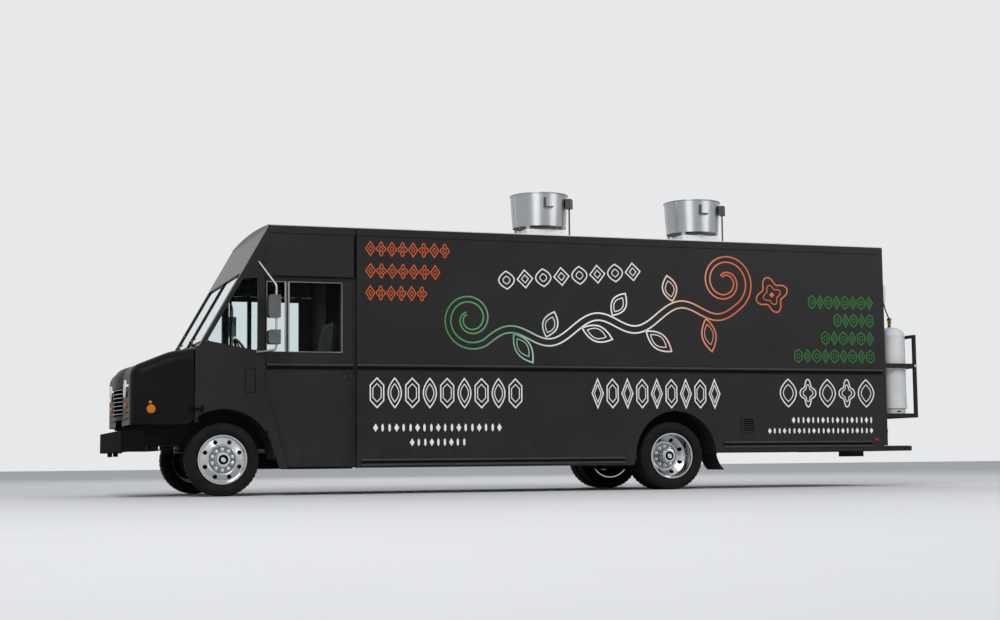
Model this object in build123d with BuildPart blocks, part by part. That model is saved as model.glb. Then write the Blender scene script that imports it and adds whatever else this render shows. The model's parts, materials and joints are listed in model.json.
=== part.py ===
from build123d import *
import math
import os

# Food truck: a walk-in step van with a one-piece tilting hood, two roof fans and a gas cage at the back.
# All sizes are in millimetres. The front faces -X, the driver's side is -Y and +Z is up.
# Lengths along X are first given behind the front axle, and at() moves them into the frame, whose
# origin lies on the ground in the middle of the overall length and width.

# Driving dimensions: length
WHEELBASE = 5283.0
BUMPER_FRONT = -1084.0
HOOD_FRONT = -987.0
SEAM_X = -320.0
COWL_X = -264.0
EAVE_X = 485.0
CAB_BACK = 1435.0
BOX_REAR = 8207.0
CAGE_DEEP = 468.0

# Driving dimensions: width and height
HALF_W = 1200.0
EAVE_Z = 2955.0
COWL_Z = 1627.0
FLOOR_TOP = 860.0
SKIRT_LOW = 292.0

# Thicknesses and clearances
WALL = 50.0
SHEET = 10.0
PLATE = 8.0
GAP = 0.3
CLEAR = 8.0
JOINT_W = 33.0
JOINT_SET = 15.0
TOUCH = 1.0
FAR = 2000.0

# Body
BOX_FRONT = CAB_BACK + JOINT_W
POST_W = 55.0
WALL_REAR = BOX_REAR - POST_W
CAGE_REAR = BOX_REAR + CAGE_DEEP
INNER_W = HALF_W - WALL
FLOOR_THICK = 60.0
FLOOR_LOW = FLOOR_TOP - FLOOR_THICK
CROWN = 57.0
ROOF_EDGE = 10.0
ROOF_OVER = 6.0
EAVE_H = 81.0
EAVE_OUT = 10.0
SKIRT_RISE = 145.0
SKIRT_HIGH = SKIRT_LOW + SKIRT_RISE

# Wheels and axles
TYRE_R = 396.0
RIM_R = 258.0
FRONT_INSET = 180.0
DUAL_INSET = 255.0
FRONT_TRACK = HALF_W - FRONT_INSET
DUAL_TRACK = HALF_W - DUAL_INSET
DUAL_OFFSET = 130.0
KINGPIN_INSET = 140.0
KINGPIN_Y = FRONT_TRACK - KINGPIN_INSET
KINGPIN_R = 32.0
FRONT_ROOM = 147.0
REAR_ROOM = 119.0
FRONT_ARCH_R = TYRE_R + FRONT_ROOM
REAR_ARCH_R = TYRE_R + REAR_ROOM
ARCH_BACK = 50.0
ARCH_RISE = 10.0
REAR_ARCH_X = WHEELBASE + ARCH_BACK
REAR_ARCH_Z = TYRE_R + ARCH_RISE

SHIFT = -(BUMPER_FRONT + CAGE_REAR) / 2
SIDES = (-1, 1)
os.makedirs("parts", exist_ok=True)


def at(x):
    """An X behind the front axle, in the part's frame."""
    return x + SHIFT


def pair(side, first, second):
    """Two distances from the middle, as (low, high) Y values on one side."""
    return sorted((side * first, side * second))


def block(x, y, z, mode=Mode.ADD):
    """A box between two corners, each axis given as (low, high), with X behind the front axle."""
    middle = (at((x[0] + x[1]) / 2), (y[0] + y[1]) / 2, (z[0] + z[1]) / 2)
    with Locations(middle):
        Box(x[1] - x[0], y[1] - y[0], z[1] - z[0], mode=mode)


def side_plane(y):
    """A plane seen from the driver's side, whose own axes are X behind the front axle and Z."""
    return Plane(origin=(SHIFT, y, 0), x_dir=(1, 0, 0), z_dir=(0, -1, 0))


def side_plate(points, y, mode=Mode.ADD):
    """A plate with its outline (x, z) seen from the side, between two Y values."""
    with BuildSketch(side_plane(y[1])) as outline:
        Polygon(*points, align=None)
    extrude(outline.sketch, amount=y[1] - y[0], mode=mode)


def barrel(x, z, radius, y, mode=Mode.ADD):
    """A cylinder along Y at (x, z), between two Y values."""
    with BuildSketch(side_plane(y[1])) as outline:
        with Locations((x, z)):
            Circle(radius)
    extrude(outline.sketch, amount=y[1] - y[0], mode=mode)


def rod(start, end, radius, mode=Mode.ADD):
    """A round bar between two points, with X behind the front axle."""
    first = Vector(at(start[0]), start[1], start[2])
    run = Vector(at(end[0]), end[1], end[2]) - first
    with BuildSketch(Plane(origin=first, z_dir=run)) as section:
        Circle(radius)
    extrude(section.sketch, amount=run.length, mode=mode)


def turn(points, centre, axis, mode=Mode.ADD):
    """A turned solid from (along, radius) points about an axis through the centre."""
    outward = Vector(*axis)
    across = Vector(0, 1, 0) if axis[0] else Vector(1, 0, 0)
    plane = Plane(origin=centre, x_dir=outward, z_dir=outward.cross(across))
    with BuildSketch(plane) as section:
        Polygon(*points, align=None)
    revolve(section.sketch, Axis(centre, outward), mode=mode)


def rail(x, side, y, z, profile):
    """A long rail on one side: its profile is (out from y, up from z) points, run between two X values."""
    plane = Plane(origin=(at(x[0]), 0, 0), x_dir=(0, 1, 0), z_dir=(1, 0, 0))
    with BuildSketch(plane) as section:
        Polygon(*[(side * (y + out), z + up) for out, up in profile], align=None)
    extrude(section.sketch, amount=x[1] - x[0])


def save(piece, label):
    """Names the finished piece and writes it."""
    piece.part.label = label
    export_step(piece.part, "parts/" + label + ".step")


# Chassis frame: two channel rails, cross members, the tank's shelves and the hood's hinge lugs
RAIL_Y = 432.0
RAIL_W = 70.0
RAIL_H = 240.0
RAIL_HIGH = FLOOR_LOW
RAIL_LOW = RAIL_HIGH - RAIL_H
RAIL_OUT = RAIL_Y + RAIL_W / 2
RAIL_IN = RAIL_Y - RAIL_W / 2
FRAME_FRONT = -940.0
FRAME_REAR = BOX_REAR - POST_W - 2.0
BEAM_X = -720.0
BEAM_W = 120.0
BEAM_DROP = 60.0
CROSS_COUNT = 5
CROSS_FIRST = 900.0
CROSS_W = 60.0
CROSS_TOP_DROP = 10.0
CROSS_H = 100.0
TANK_X = (2000.0, 3100.0)
TANK_OUT = 940.0
TANK_IN = 480.0
TANK_LOW = 420.0
TANK_ROUND = 40.0
SHELF_X = (2150.0, 2900.0)
SHELF_W = 60.0
SHELF_LOW = TANK_LOW - 20.0
PIVOT = (-955.0, 757.0)
PIN_R = 10.0
LUG_Y = (455.0, 470.0)
ARM_Y = (476.0, 490.0)
LUG_FRONT = 15.0
LUG_H = (-17.0, 15.0)
with BuildPart() as chassis_frame:
    for side in SIDES:
        block((FRAME_FRONT, FRAME_REAR), pair(side, RAIL_OUT, RAIL_OUT - PLATE), (RAIL_LOW, RAIL_HIGH))
        block((FRAME_FRONT, FRAME_REAR), pair(side, RAIL_OUT, RAIL_IN), (RAIL_LOW, RAIL_LOW + PLATE))
        block((FRAME_FRONT, FRAME_REAR), pair(side, RAIL_OUT, RAIL_IN), (RAIL_HIGH - PLATE, RAIL_HIGH))
        lug_z = (PIVOT[1] + LUG_H[0], PIVOT[1] + LUG_H[1])
        block((PIVOT[0] - LUG_FRONT, FRAME_FRONT), pair(side, *LUG_Y), lug_z)
        barrel(PIVOT[0], PIVOT[1], PIN_R, pair(side, LUG_Y[0], ARM_Y[1]))
    reach = RAIL_OUT - PLATE
    for index in range(CROSS_COUNT):
        cross = CROSS_FIRST + index * (FRAME_REAR - 2 * CROSS_W - CROSS_FIRST) / (CROSS_COUNT - 1)
        top = RAIL_HIGH - CROSS_TOP_DROP
        block((cross, cross + CROSS_W), (-reach, reach), (top - CROSS_H, top))
    block((BEAM_X, BEAM_X + BEAM_W), (-RAIL_Y, RAIL_Y), (RAIL_LOW - BEAM_DROP, RAIL_LOW))
    for shelf in SHELF_X:
        x = (shelf, shelf + SHELF_W)
        block(x, (-TANK_OUT, -reach), (RAIL_LOW - PLATE, RAIL_LOW))
        block(x, (-TANK_IN, -RAIL_OUT), (SHELF_LOW, RAIL_LOW))
        block(x, (-TANK_OUT, -RAIL_OUT), (SHELF_LOW, TANK_LOW))
save(chassis_frame, "chassis_frame")

ENGINE_X = (-830.0, -340.0)
ENGINE_HALF = 300.0
ENGINE_TOP = 1250.0
with BuildPart() as engine_block:
    block(ENGINE_X, (-ENGINE_HALF, ENGINE_HALF), (RAIL_LOW, ENGINE_TOP))
save(engine_block, "engine_block")

with BuildPart() as fuel_tank:
    block(TANK_X, (-TANK_OUT, -TANK_IN), (TANK_LOW, RAIL_LOW - PLATE))
    fillet(fuel_tank.edges().filter_by(Axis.X), TANK_ROUND)
save(fuel_tank, "fuel_tank")

# Axles and springs
BEAM_HALF = 40.0
BEAM_Z = (350.0, 440.0)
YOKE_HALF = 30.0
YOKE_IN = 80.0
YOKE_Z = (330.0, 470.0)
with BuildPart() as front_axle:
    yoke_out = KINGPIN_Y - KINGPIN_R - GAP
    block((-BEAM_HALF, BEAM_HALF), (-yoke_out + SHEET, yoke_out - SHEET), BEAM_Z)
    for side in SIDES:
        block((-YOKE_HALF, YOKE_HALF), pair(side, yoke_out - YOKE_IN, yoke_out), YOKE_Z)
save(front_axle, "front_axle")

# Each spring is a pack of leaves: reach of each leaf as a share of the longest
LEAF_H = 14.0
LEAVES = (1.0, 0.72, 0.44)
SEAT_HALF = 120.0
EYE_R = 24.0
AXLE_TUBE_R = 60.0
SPRINGS = (
    # centre, half length, seat height
    (0.0, 560.0, BEAM_Z[1]),
    (WHEELBASE, 640.0, TYRE_R + AXLE_TUBE_R),
)
with BuildPart() as leaf_springs:
    for centre, reach, seat in SPRINGS:
        for side in SIDES:
            y = pair(side, RAIL_IN, RAIL_OUT)
            for index, share in enumerate(LEAVES):
                half = reach * share
                rise = (RAIL_LOW - EYE_R - seat - LEAF_H * len(LEAVES)) * share
                low = seat + (len(LEAVES) - 1 - index) * LEAF_H
                side_plate([(centre - half, low + rise), (centre - SEAT_HALF, low), (centre + SEAT_HALF, low),
                            (centre + half, low + rise), (centre + half, low + rise + LEAF_H),
                            (centre + SEAT_HALF, low + LEAF_H), (centre - SEAT_HALF, low + LEAF_H),
                            (centre - half, low + rise + LEAF_H)], y)
            for end in (-reach, reach):
                barrel(centre + end, RAIL_LOW - EYE_R, EYE_R, y)
save(leaf_springs, "leaf_springs")

HUB_SHORT = 12.0
HUB_FACE = DUAL_TRACK - HUB_SHORT - GAP
HUB_LONG = 233.0
BRAKE_R = 160.0
DIFF_R = 190.0
SHAFT_R = 45.0
GEARBOX_X = (-340.0, 560.0)
GEARBOX_HALF = 180.0
GEARBOX_Z = (480.0, 740.0)
SHAFT_Z = (600.0, 420.0)
SHAFT_END = 150.0
with BuildPart() as driveline:
    barrel(WHEELBASE, TYRE_R, AXLE_TUBE_R, (-HUB_FACE, HUB_FACE))
    with Locations((at(WHEELBASE), 0, TYRE_R)):
        Sphere(DIFF_R)
    for side in SIDES:
        barrel(WHEELBASE, TYRE_R, BRAKE_R, pair(side, HUB_FACE - HUB_LONG, HUB_FACE))
    rod((GEARBOX_X[1], 0, SHAFT_Z[0]), (WHEELBASE - SHAFT_END, 0, SHAFT_Z[1]), SHAFT_R)
    block(GEARBOX_X, (-GEARBOX_HALF, GEARBOX_HALF), GEARBOX_Z)
save(driveline, "driveline")

PIPE_R = 38.0
PIPE_LOW = 512.0
PIPE_Y = (280.0, 650.0, 700.0)
PIPE_HIGH = 600.0
PIPE_TAIL = (4480.0, 330.0)
SILENCER_X = (1900.0, 2800.0)
SILENCER_R = 110.0
HANGER_X = (2050.0, 2600.0, 3900.0)
HANGER_W = 30.0
EXHAUST = (
    (ENGINE_X[1] + SHEET, PIPE_Y[0], PIPE_LOW),
    (800.0, PIPE_Y[0], PIPE_LOW),
    (1500.0, PIPE_Y[1], PIPE_LOW),
    (1750.0, PIPE_Y[1], PIPE_HIGH),
    (4300.0, PIPE_Y[1], PIPE_HIGH),
    (PIPE_TAIL[0], PIPE_Y[2], PIPE_TAIL[1]),
)
with BuildPart() as exhaust:
    with BuildLine() as pipe:
        Polyline(*[(at(x), y, z) for x, y, z in EXHAUST])
    with BuildSketch(Plane(origin=pipe.line @ 0, z_dir=pipe.line % 0)):
        Circle(PIPE_R)
    sweep(transition=Transition.RIGHT)
    rod((SILENCER_X[0], PIPE_Y[1], PIPE_HIGH), (SILENCER_X[1], PIPE_Y[1], PIPE_HIGH), SILENCER_R)
    for hanger in HANGER_X:
        block((hanger, hanger + HANGER_W), (PIPE_Y[1] - SHEET, PIPE_Y[1] + SHEET), (PIPE_HIGH, RAIL_HIGH))
save(exhaust, "exhaust")

# Doors: the leading edge runs down from the top to a knee, then slants back to the toe
DOOR_LEAD = 997.0
DOOR_FRONT = CAB_BACK - DOOR_LEAD
DOOR_SLANT = 258.0
DOOR_TOE_X = DOOR_FRONT + DOOR_SLANT
DOOR_HEAD = 553.0
DOOR_TOP = EAVE_Z - DOOR_HEAD
DOOR_LOW = SKIRT_LOW + CLEAR
DOOR_KNEE_Z = 1199.0
DOOR_THICK = 30.0
DOOR_SET = 45.0
DOOR_SKIN_Y = HALF_W - DOOR_SET
SLOT_ROOM = (25.0, 45.0)
SLOT_OUT = DOOR_SKIN_Y + SLOT_ROOM[0]
SLOT_IN = DOOR_SKIN_Y - SLOT_ROOM[1]
LINING = 12.0
POCKET_IN = SLOT_IN - LINING
POCKET_LONG = 1015.0
POCKET_END = CAB_BACK + POCKET_LONG
POCKET_CAP = 20.0
BELT_Z = 1410.0
SEAT_BACK_ROOM = 30.0

# Floor with its wheel houses and step wells
HOUSE_DEEP = 500.0
HOUSE_Y = INNER_W - HOUSE_DEEP
HOUSE_WALL = 20.0
HOUSE_FRONT = FRONT_ARCH_R + HOUSE_WALL
HOUSE_EASE = 5.0
HOUSE_REAR = REAR_ARCH_R + HOUSE_WALL - HOUSE_EASE
WELL_DEEP = 330.0
WELL_Y = INNER_W - WELL_DEEP
WELL_STEP = (560.0, 575.0)
WELL_TREAD = 160.0
WELL_DROP = 15.0
HOUSE_TOP = 1100.0
CAB_FLOOR_X = SEAM_X + WALL
FLOOR_END = WALL_REAR - GAP
HOUSES = (
    # centre, height, outer radius
    (0.0, TYRE_R, HOUSE_FRONT),
    (REAR_ARCH_X, REAR_ARCH_Z, HOUSE_REAR),
)
with BuildPart() as floor_slab:
    block((CAB_FLOOR_X, FLOOR_END), (-INNER_W, INNER_W), (FLOOR_LOW, FLOOR_TOP))
    for side in SIDES:
        y = pair(side, HOUSE_Y, INNER_W)
        block((CAB_FLOOR_X, DOOR_TOE_X - SHEET - WALL), y, (FLOOR_LOW, FLOOR_TOP), Mode.SUBTRACT)
        block((DOOR_FRONT, POCKET_END + POCKET_CAP), pair(side, POCKET_IN, INNER_W), (FLOOR_LOW, FLOOR_TOP),
              Mode.SUBTRACT)
        block((DOOR_TOE_X, BOX_FRONT - SEAT_BACK_ROOM), pair(side, WELL_Y, INNER_W), (FLOOR_LOW, FLOOR_TOP),
              Mode.SUBTRACT)
        barrel(REAR_ARCH_X, REAR_ARCH_Z, HOUSE_REAR, y, Mode.SUBTRACT)

with BuildPart() as wheel_houses:
    for side in SIDES:
        y = pair(side, HOUSE_Y, INNER_W)
        for centre, height, radius in HOUSES:
            barrel(centre, height, radius, y)
            barrel(centre, height, radius - SHEET, pair(side, HOUSE_Y + SHEET, INNER_W), Mode.SUBTRACT)
            block((centre - FAR / 2, centre + FAR / 2), y, (height - FAR / 2, height), Mode.SUBTRACT)
            block((centre - FAR / 2, centre + FAR / 2), pair(side, HOUSE_Y, HOUSE_Y + SHEET), (0, FLOOR_LOW),
                  Mode.SUBTRACT)
        block((CAB_FLOOR_X - FAR / 2, CAB_FLOOR_X), y, (0, HOUSE_TOP), Mode.SUBTRACT)

with BuildPart() as step_wells:
    for side in SIDES:
        x = (DOOR_TOE_X, BOX_FRONT - SEAT_BACK_ROOM)
        inside = (x[0] + SHEET, x[1] - SHEET)
        block(x, pair(side, WELL_Y, POCKET_IN), (DOOR_LOW - WELL_DROP, FLOOR_TOP))
        block(inside, pair(side, WELL_Y + SHEET, POCKET_IN), (DOOR_LOW, FLOOR_TOP), Mode.SUBTRACT)
        block(inside, pair(side, WELL_Y + SHEET, WELL_Y + WELL_TREAD), WELL_STEP)

with BuildPart() as floor_pan:
    add(floor_slab.part)
    add(wheel_houses.part)
    add(step_wells.part)
save(floor_pan, "floor_pan")

# Cab: the rake line runs from the cowl up to the roof's edge
RAKE_RUN = (EAVE_X - COWL_X) / (EAVE_Z - COWL_Z)
CAB_SKIN = 50.0
GLASS = 6.0
GLASS_SET = 15.0
SHIELD_RISE = 33.0
SHIELD_HEAD = 525.0
SHIELD_LOW = COWL_Z + SHIELD_RISE
SHIELD_HIGH = EAVE_Z - SHIELD_HEAD
SHIELD_SIDE = 115.0
SHIELD_HALF = HALF_W - SHIELD_SIDE
DIVIDER = 30.0
SEAM_DROP = 24.0
SEAM_Z = COWL_Z - SEAM_DROP
SKIN_X = CAB_SKIN * math.hypot(1, RAKE_RUN)


def rake_x(z):
    """The X of the raked front face at a height."""
    return COWL_X + (z - COWL_Z) * RAKE_RUN


# Quarter window, smaller than the space between the rake line and the door
QUARTER_SILL = (45.0, -59.0)
QUARTER_HEAD = (25.0, 40.0)
QUARTER_FRONT = 40.0
QUARTER_POST = 75.0
QUARTER_LOW = (COWL_Z + QUARTER_SILL[0], COWL_Z + QUARTER_SILL[1])
QUARTER_HIGH = (DOOR_TOP - QUARTER_HEAD[0], DOOR_TOP - QUARTER_HEAD[1])
QUARTER_BACK = DOOR_FRONT - QUARTER_POST
QUARTER = (
    (rake_x(QUARTER_LOW[0]) + QUARTER_FRONT, QUARTER_LOW[0]),
    (QUARTER_BACK, QUARTER_LOW[1]),
    (QUARTER_BACK, QUARTER_HIGH[0]),
    (rake_x(QUARTER_HIGH[1]) + QUARTER_FRONT, QUARTER_HIGH[1]),
)
CAB_LOW = 700.0
TOE_STEP = 216.0
HATCH_COVER_X = (225.0, 339.0)
HATCH_COVER_Z = (1116.0, 1377.0)
GROOVE = 8.0
GROOVE_DEEP = 3.0
ARCH_BEND = (16.0, 124.0)
ARCH_FOOT = (77.0, 20.0)
ARCH_TAIL = (
    (FRONT_ARCH_R - FRONT_ROOM, TYRE_R),
    (FRONT_ARCH_R - ARCH_BEND[0], TYRE_R + ARCH_BEND[1]),
    (FRONT_ARCH_R + ARCH_FOOT[0], SKIRT_LOW - ARCH_FOOT[1]),
    (FRONT_ARCH_R - FRONT_ROOM, SKIRT_LOW - ARCH_FOOT[1]),
)
for label, side in (("cab_side_left", -1), ("cab_side_right", 1)):
    y = pair(side, HALF_W, INNER_W)
    with BuildPart() as cab_side:
        side_plate([(SEAM_X + CLEAR, CAB_LOW), (SEAM_X + CLEAR, SEAM_Z), (COWL_X, COWL_Z), (EAVE_X, EAVE_Z),
                    (CAB_BACK, EAVE_Z), (CAB_BACK, DOOR_TOP), (DOOR_FRONT, DOOR_TOP), (DOOR_FRONT, DOOR_KNEE_Z),
                    (DOOR_TOE_X, SKIRT_LOW), (DOOR_TOE_X - TOE_STEP, SKIRT_LOW),
                    (DOOR_TOE_X - TOE_STEP, CAB_LOW)], y)
        barrel(0, TYRE_R, FRONT_ARCH_R, y, Mode.SUBTRACT)
        side_plate(ARCH_TAIL, y, Mode.SUBTRACT)
        side_plate(QUARTER, y, Mode.SUBTRACT)
        block((CAB_BACK, BOX_FRONT), pair(side, HALF_W - JOINT_SET, INNER_W), (DOOR_TOP, EAVE_Z))
        block((EAVE_X, CAB_BACK), pair(side, HALF_W, HALF_W + EAVE_OUT), (EAVE_Z - EAVE_H, EAVE_Z))
        outer = pair(side, HALF_W - GROOVE_DEEP, HALF_W)
        for x in (HATCH_COVER_X[0], HATCH_COVER_X[1] - GROOVE):
            block((x, x + GROOVE), outer, HATCH_COVER_Z, Mode.SUBTRACT)
        for z in (HATCH_COVER_Z[0], HATCH_COVER_Z[1] - GROOVE):
            block(HATCH_COVER_X, outer, (z, z + GROOVE), Mode.SUBTRACT)
    save(cab_side, label)

with BuildPart() as cab_front:
    side_plate([(SEAM_X + CLEAR, FLOOR_LOW), (SEAM_X + CLEAR, SEAM_Z), (COWL_X, COWL_Z), (EAVE_X, EAVE_Z),
                (EAVE_X + SKIN_X, EAVE_Z), (COWL_X + SKIN_X, COWL_Z), (CAB_FLOOR_X, SEAM_Z - WALL - SHEET),
                (CAB_FLOOR_X, FLOOR_LOW)], (-INNER_W, INNER_W))
    for side in SIDES:
        block((SEAM_X, SEAM_X + FAR / 2), pair(side, DIVIDER / 2, SHIELD_HALF), (SHIELD_LOW, SHIELD_HIGH),
              Mode.SUBTRACT)
save(cab_front, "cab_front")

PANE_SET = 12.0
PANE_OUT = HALF_W - PANE_SET
with BuildPart() as cab_glass:
    for side in SIDES:
        low, high = rake_x(SHIELD_LOW) + GLASS_SET, rake_x(SHIELD_HIGH) + GLASS_SET
        side_plate([(low, SHIELD_LOW), (high, SHIELD_HIGH), (high + GLASS, SHIELD_HIGH),
                    (low + GLASS, SHIELD_LOW)], pair(side, DIVIDER / 2, SHIELD_HALF))
        side_plate(QUARTER, pair(side, PANE_OUT, PANE_OUT - GLASS))
save(cab_glass, "cab_glass")

PARTITION = 40.0
PASSAGE_HALF = 350.0
PASSAGE_HEAD = 105.0
with BuildPart() as cab_partition:
    x = (BOX_FRONT, BOX_FRONT + PARTITION)
    block(x, (-POCKET_IN, POCKET_IN), (FLOOR_TOP, EAVE_Z))
    block(x, (-PASSAGE_HALF, PASSAGE_HALF), (FLOOR_TOP, EAVE_Z - PASSAGE_HEAD), Mode.SUBTRACT)
save(cab_partition, "cab_partition")

# Rail profiles as (out, up) points: the belt sheds water over a bright upper edge, the skirt is a channel
BELT_PROFILE = (
    (0.0, 38.5),
    (6.0, 38.5),
    (17.0, 26.5),
    (17.0, 8.5),
    (4.0, -3.5),
    (4.0, -33.5),
    (8.0, -38.5),
    (0.0, -38.5),
)
CHANNEL_PROFILE = (
    (0.0, 22.0),
    (12.0, 22.0),
    (12.0, 12.0),
    (3.0, 8.0),
    (3.0, -8.0),
    (12.0, -12.0),
    (12.0, -22.0),
    (0.0, -22.0),
)
FRONT_RAIL_ENDS = (43.0, 149.0)
FRONT_RAIL_UP = 65.0
REAR_RAIL_ENDS = (104.0, 180.0)
REAR_RAIL_UP = 91.0
FRONT_SKIRT = (BOX_FRONT + FRONT_RAIL_ENDS[0], REAR_ARCH_X - REAR_ARCH_R - FRONT_RAIL_ENDS[1])
REAR_SKIRT = (REAR_ARCH_X + REAR_ARCH_R + REAR_RAIL_ENDS[0], WALL_REAR - REAR_RAIL_ENDS[1])
ARCH_EASE = 18.0
ARCH_SLOPE = 58.0

# Serving hatch's opening, on the kerb side
HATCH_X = (2600.0, 5000.0)
HEAD_RISE = 48.0
HATCH_Z = (1470.0, DOOR_TOP + HEAD_RISE)
for label, side in (("left_wall", -1), ("right_wall", 1)):
    y = pair(side, HALF_W, INNER_W)
    arch_front = REAR_ARCH_X - REAR_ARCH_R + ARCH_EASE
    arch_rear = REAR_ARCH_X + REAR_ARCH_R - ARCH_EASE
    with BuildPart() as wall:
        side_plate([(BOX_FRONT, SKIRT_LOW), (arch_front - ARCH_SLOPE, SKIRT_LOW), (arch_front, REAR_ARCH_Z),
                    (arch_rear, REAR_ARCH_Z), (arch_rear + ARCH_SLOPE, SKIRT_HIGH), (WALL_REAR, SKIRT_HIGH),
                    (WALL_REAR, EAVE_Z), (BOX_FRONT, EAVE_Z)], y)
        barrel(REAR_ARCH_X, REAR_ARCH_Z, REAR_ARCH_R, y, Mode.SUBTRACT)
        block((BOX_FRONT, POCKET_END + POCKET_CAP), pair(side, POCKET_IN, HALF_W),
              (SKIRT_LOW, DOOR_TOP + POCKET_CAP))
        block((BOX_FRONT, POCKET_END), pair(side, SLOT_IN, SLOT_OUT), (DOOR_LOW, DOOR_TOP), Mode.SUBTRACT)
        block((BOX_FRONT, WALL_REAR), pair(side, HALF_W, HALF_W + EAVE_OUT), (EAVE_Z - EAVE_H, EAVE_Z))
        rail((BOX_FRONT, WALL_REAR), side, HALF_W, BELT_Z, BELT_PROFILE)
        rail(FRONT_SKIRT, side, HALF_W, SKIRT_LOW + FRONT_RAIL_UP, CHANNEL_PROFILE)
        rail(REAR_SKIRT, side, HALF_W, SKIRT_HIGH + REAR_RAIL_UP, CHANNEL_PROFILE)
        if side == 1:
            block(HATCH_X, (INNER_W, HALF_W), HATCH_Z, Mode.SUBTRACT)
    save(wall, label)

# Roof, crowned across, with a curb under each fan
FAN_X = (4083.0, 6170.0)
CURB = 506.0
CURB_RISE = 155.0
CURB_TOP = EAVE_Z + CURB_RISE
with BuildPart() as roof:
    edge = HALF_W + ROOF_OVER
    with BuildSketch(Plane(origin=(at(EAVE_X), 0, 0), x_dir=(0, 1, 0), z_dir=(1, 0, 0))):
        with BuildLine():
            Polyline((-edge, EAVE_Z + ROOF_EDGE), (-edge, EAVE_Z), (edge, EAVE_Z), (edge, EAVE_Z + ROOF_EDGE))
            ThreePointArc((-edge, EAVE_Z + ROOF_EDGE), (0, EAVE_Z + CROWN), (edge, EAVE_Z + ROOF_EDGE))
        make_face()
    extrude(amount=BOX_REAR - EAVE_X)
    for x in FAN_X:
        inner_curb = CURB / 2 - SHEET
        block((x - inner_curb, x + inner_curb), (-inner_curb, inner_curb), (EAVE_Z + ROOF_EDGE, CURB_TOP))
save(roof, "roof")

# Rear wall with its door, whose hinges stand on the kerb side
REAR_DOOR_IN = 60.0
REAR_DOOR_EDGE = 200.0
REAR_DOOR_SILL = 40.0
REAR_DOOR_THICK = 40.0
REAR_DOOR_Y = (REAR_DOOR_IN, HALF_W - REAR_DOOR_EDGE)
REAR_DOOR_Z = (FLOOR_TOP + REAR_DOOR_SILL, DOOR_TOP + HEAD_RISE)
REAR_LOW = 500.0
POST_ROUND = 20.0
with BuildPart() as rear_wall:
    block((WALL_REAR, BOX_REAR), (-HALF_W, HALF_W), (REAR_LOW, EAVE_Z))
    fillet(rear_wall.edges().filter_by(Axis.Z).group_by(Axis.X)[-1], POST_ROUND)
    block((WALL_REAR, BOX_REAR), REAR_DOOR_Y, REAR_DOOR_Z, Mode.SUBTRACT)
save(rear_wall, "rear_wall")

DOOR_GAP = 6.0
HINGE_COUNT = 3
HINGE_H = 60.0
HINGE_ENDS = (100.0, 170.0)
HINGE_LEAF = 80.0
HINGE_OUT = 3.0
HINGE_R = 7.7
LATCH_X = 24.0
LATCH_Y = (50.0, 170.0)
LATCH_Z = (1380.0, 1420.0)
with BuildPart() as rear_door:
    low, high = REAR_DOOR_Z[0] + DOOR_GAP, REAR_DOOR_Z[1] - DOOR_GAP
    edge = REAR_DOOR_Y[1] - DOOR_GAP
    block((BOX_REAR - REAR_DOOR_THICK, BOX_REAR), (REAR_DOOR_Y[0] + DOOR_GAP, edge), (low, high))
    pitch = (high - HINGE_ENDS[1] - low - HINGE_ENDS[0]) / (HINGE_COUNT - 1)
    for index in range(HINGE_COUNT):
        z = low + HINGE_ENDS[0] + index * pitch
        pin = (BOX_REAR + CLEAR, REAR_DOOR_Y[1] + HINGE_OUT)
        block((BOX_REAR, BOX_REAR + CLEAR), (edge - HINGE_LEAF, REAR_DOOR_Y[1] + HINGE_OUT), (z, z + HINGE_H))
        rod((pin[0], pin[1], z), (pin[0], pin[1], z + HINGE_H), HINGE_R)
    latch_y = (REAR_DOOR_Y[0] + LATCH_Y[0], REAR_DOOR_Y[0] + LATCH_Y[1])
    block((BOX_REAR, BOX_REAR + LATCH_X), (latch_y[0], latch_y[0] + SHEET), LATCH_Z)
    block((BOX_REAR, BOX_REAR + LATCH_X), (latch_y[1] - SHEET, latch_y[1]), LATCH_Z)
    block((BOX_REAR + LATCH_X - SHEET, BOX_REAR + LATCH_X), latch_y, LATCH_Z)
save(rear_door, "rear_door")

# Serving hatch, hinged along its top, and the sliding window behind it
HATCH_SET = (35.0, 5.0)
HATCH_END = 20.0
HATCH_LEAF = 60.0
HATCH_LEAF_SET = 2.0
HATCH_PIN_Y = HALF_W + CLEAR
HATCH_PIN_Z = HATCH_Z[1] + DOOR_GAP
with BuildPart() as serving_hatch:
    face = HALF_W - HATCH_SET[1]
    block((HATCH_X[0] + DOOR_GAP, HATCH_X[1] - DOOR_GAP), (HALF_W - HATCH_SET[0], face),
          (HATCH_Z[0] + DOOR_GAP, HATCH_Z[1] - DOOR_GAP))
    x = (HATCH_X[0] + HATCH_END, HATCH_X[1] - HATCH_END)
    rod((x[0], HATCH_PIN_Y, HATCH_PIN_Z), (x[1], HATCH_PIN_Y, HATCH_PIN_Z), HINGE_R)
    block(x, (face, HATCH_PIN_Y - HATCH_LEAF_SET), (HATCH_Z[1] - HATCH_LEAF, HATCH_Z[1] - DOOR_GAP))
    block(x, (HALF_W + HINGE_OUT, HATCH_PIN_Y), (HATCH_Z[1] - HATCH_LEAF, HATCH_PIN_Z))
save(serving_hatch, "serving_hatch")

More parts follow.
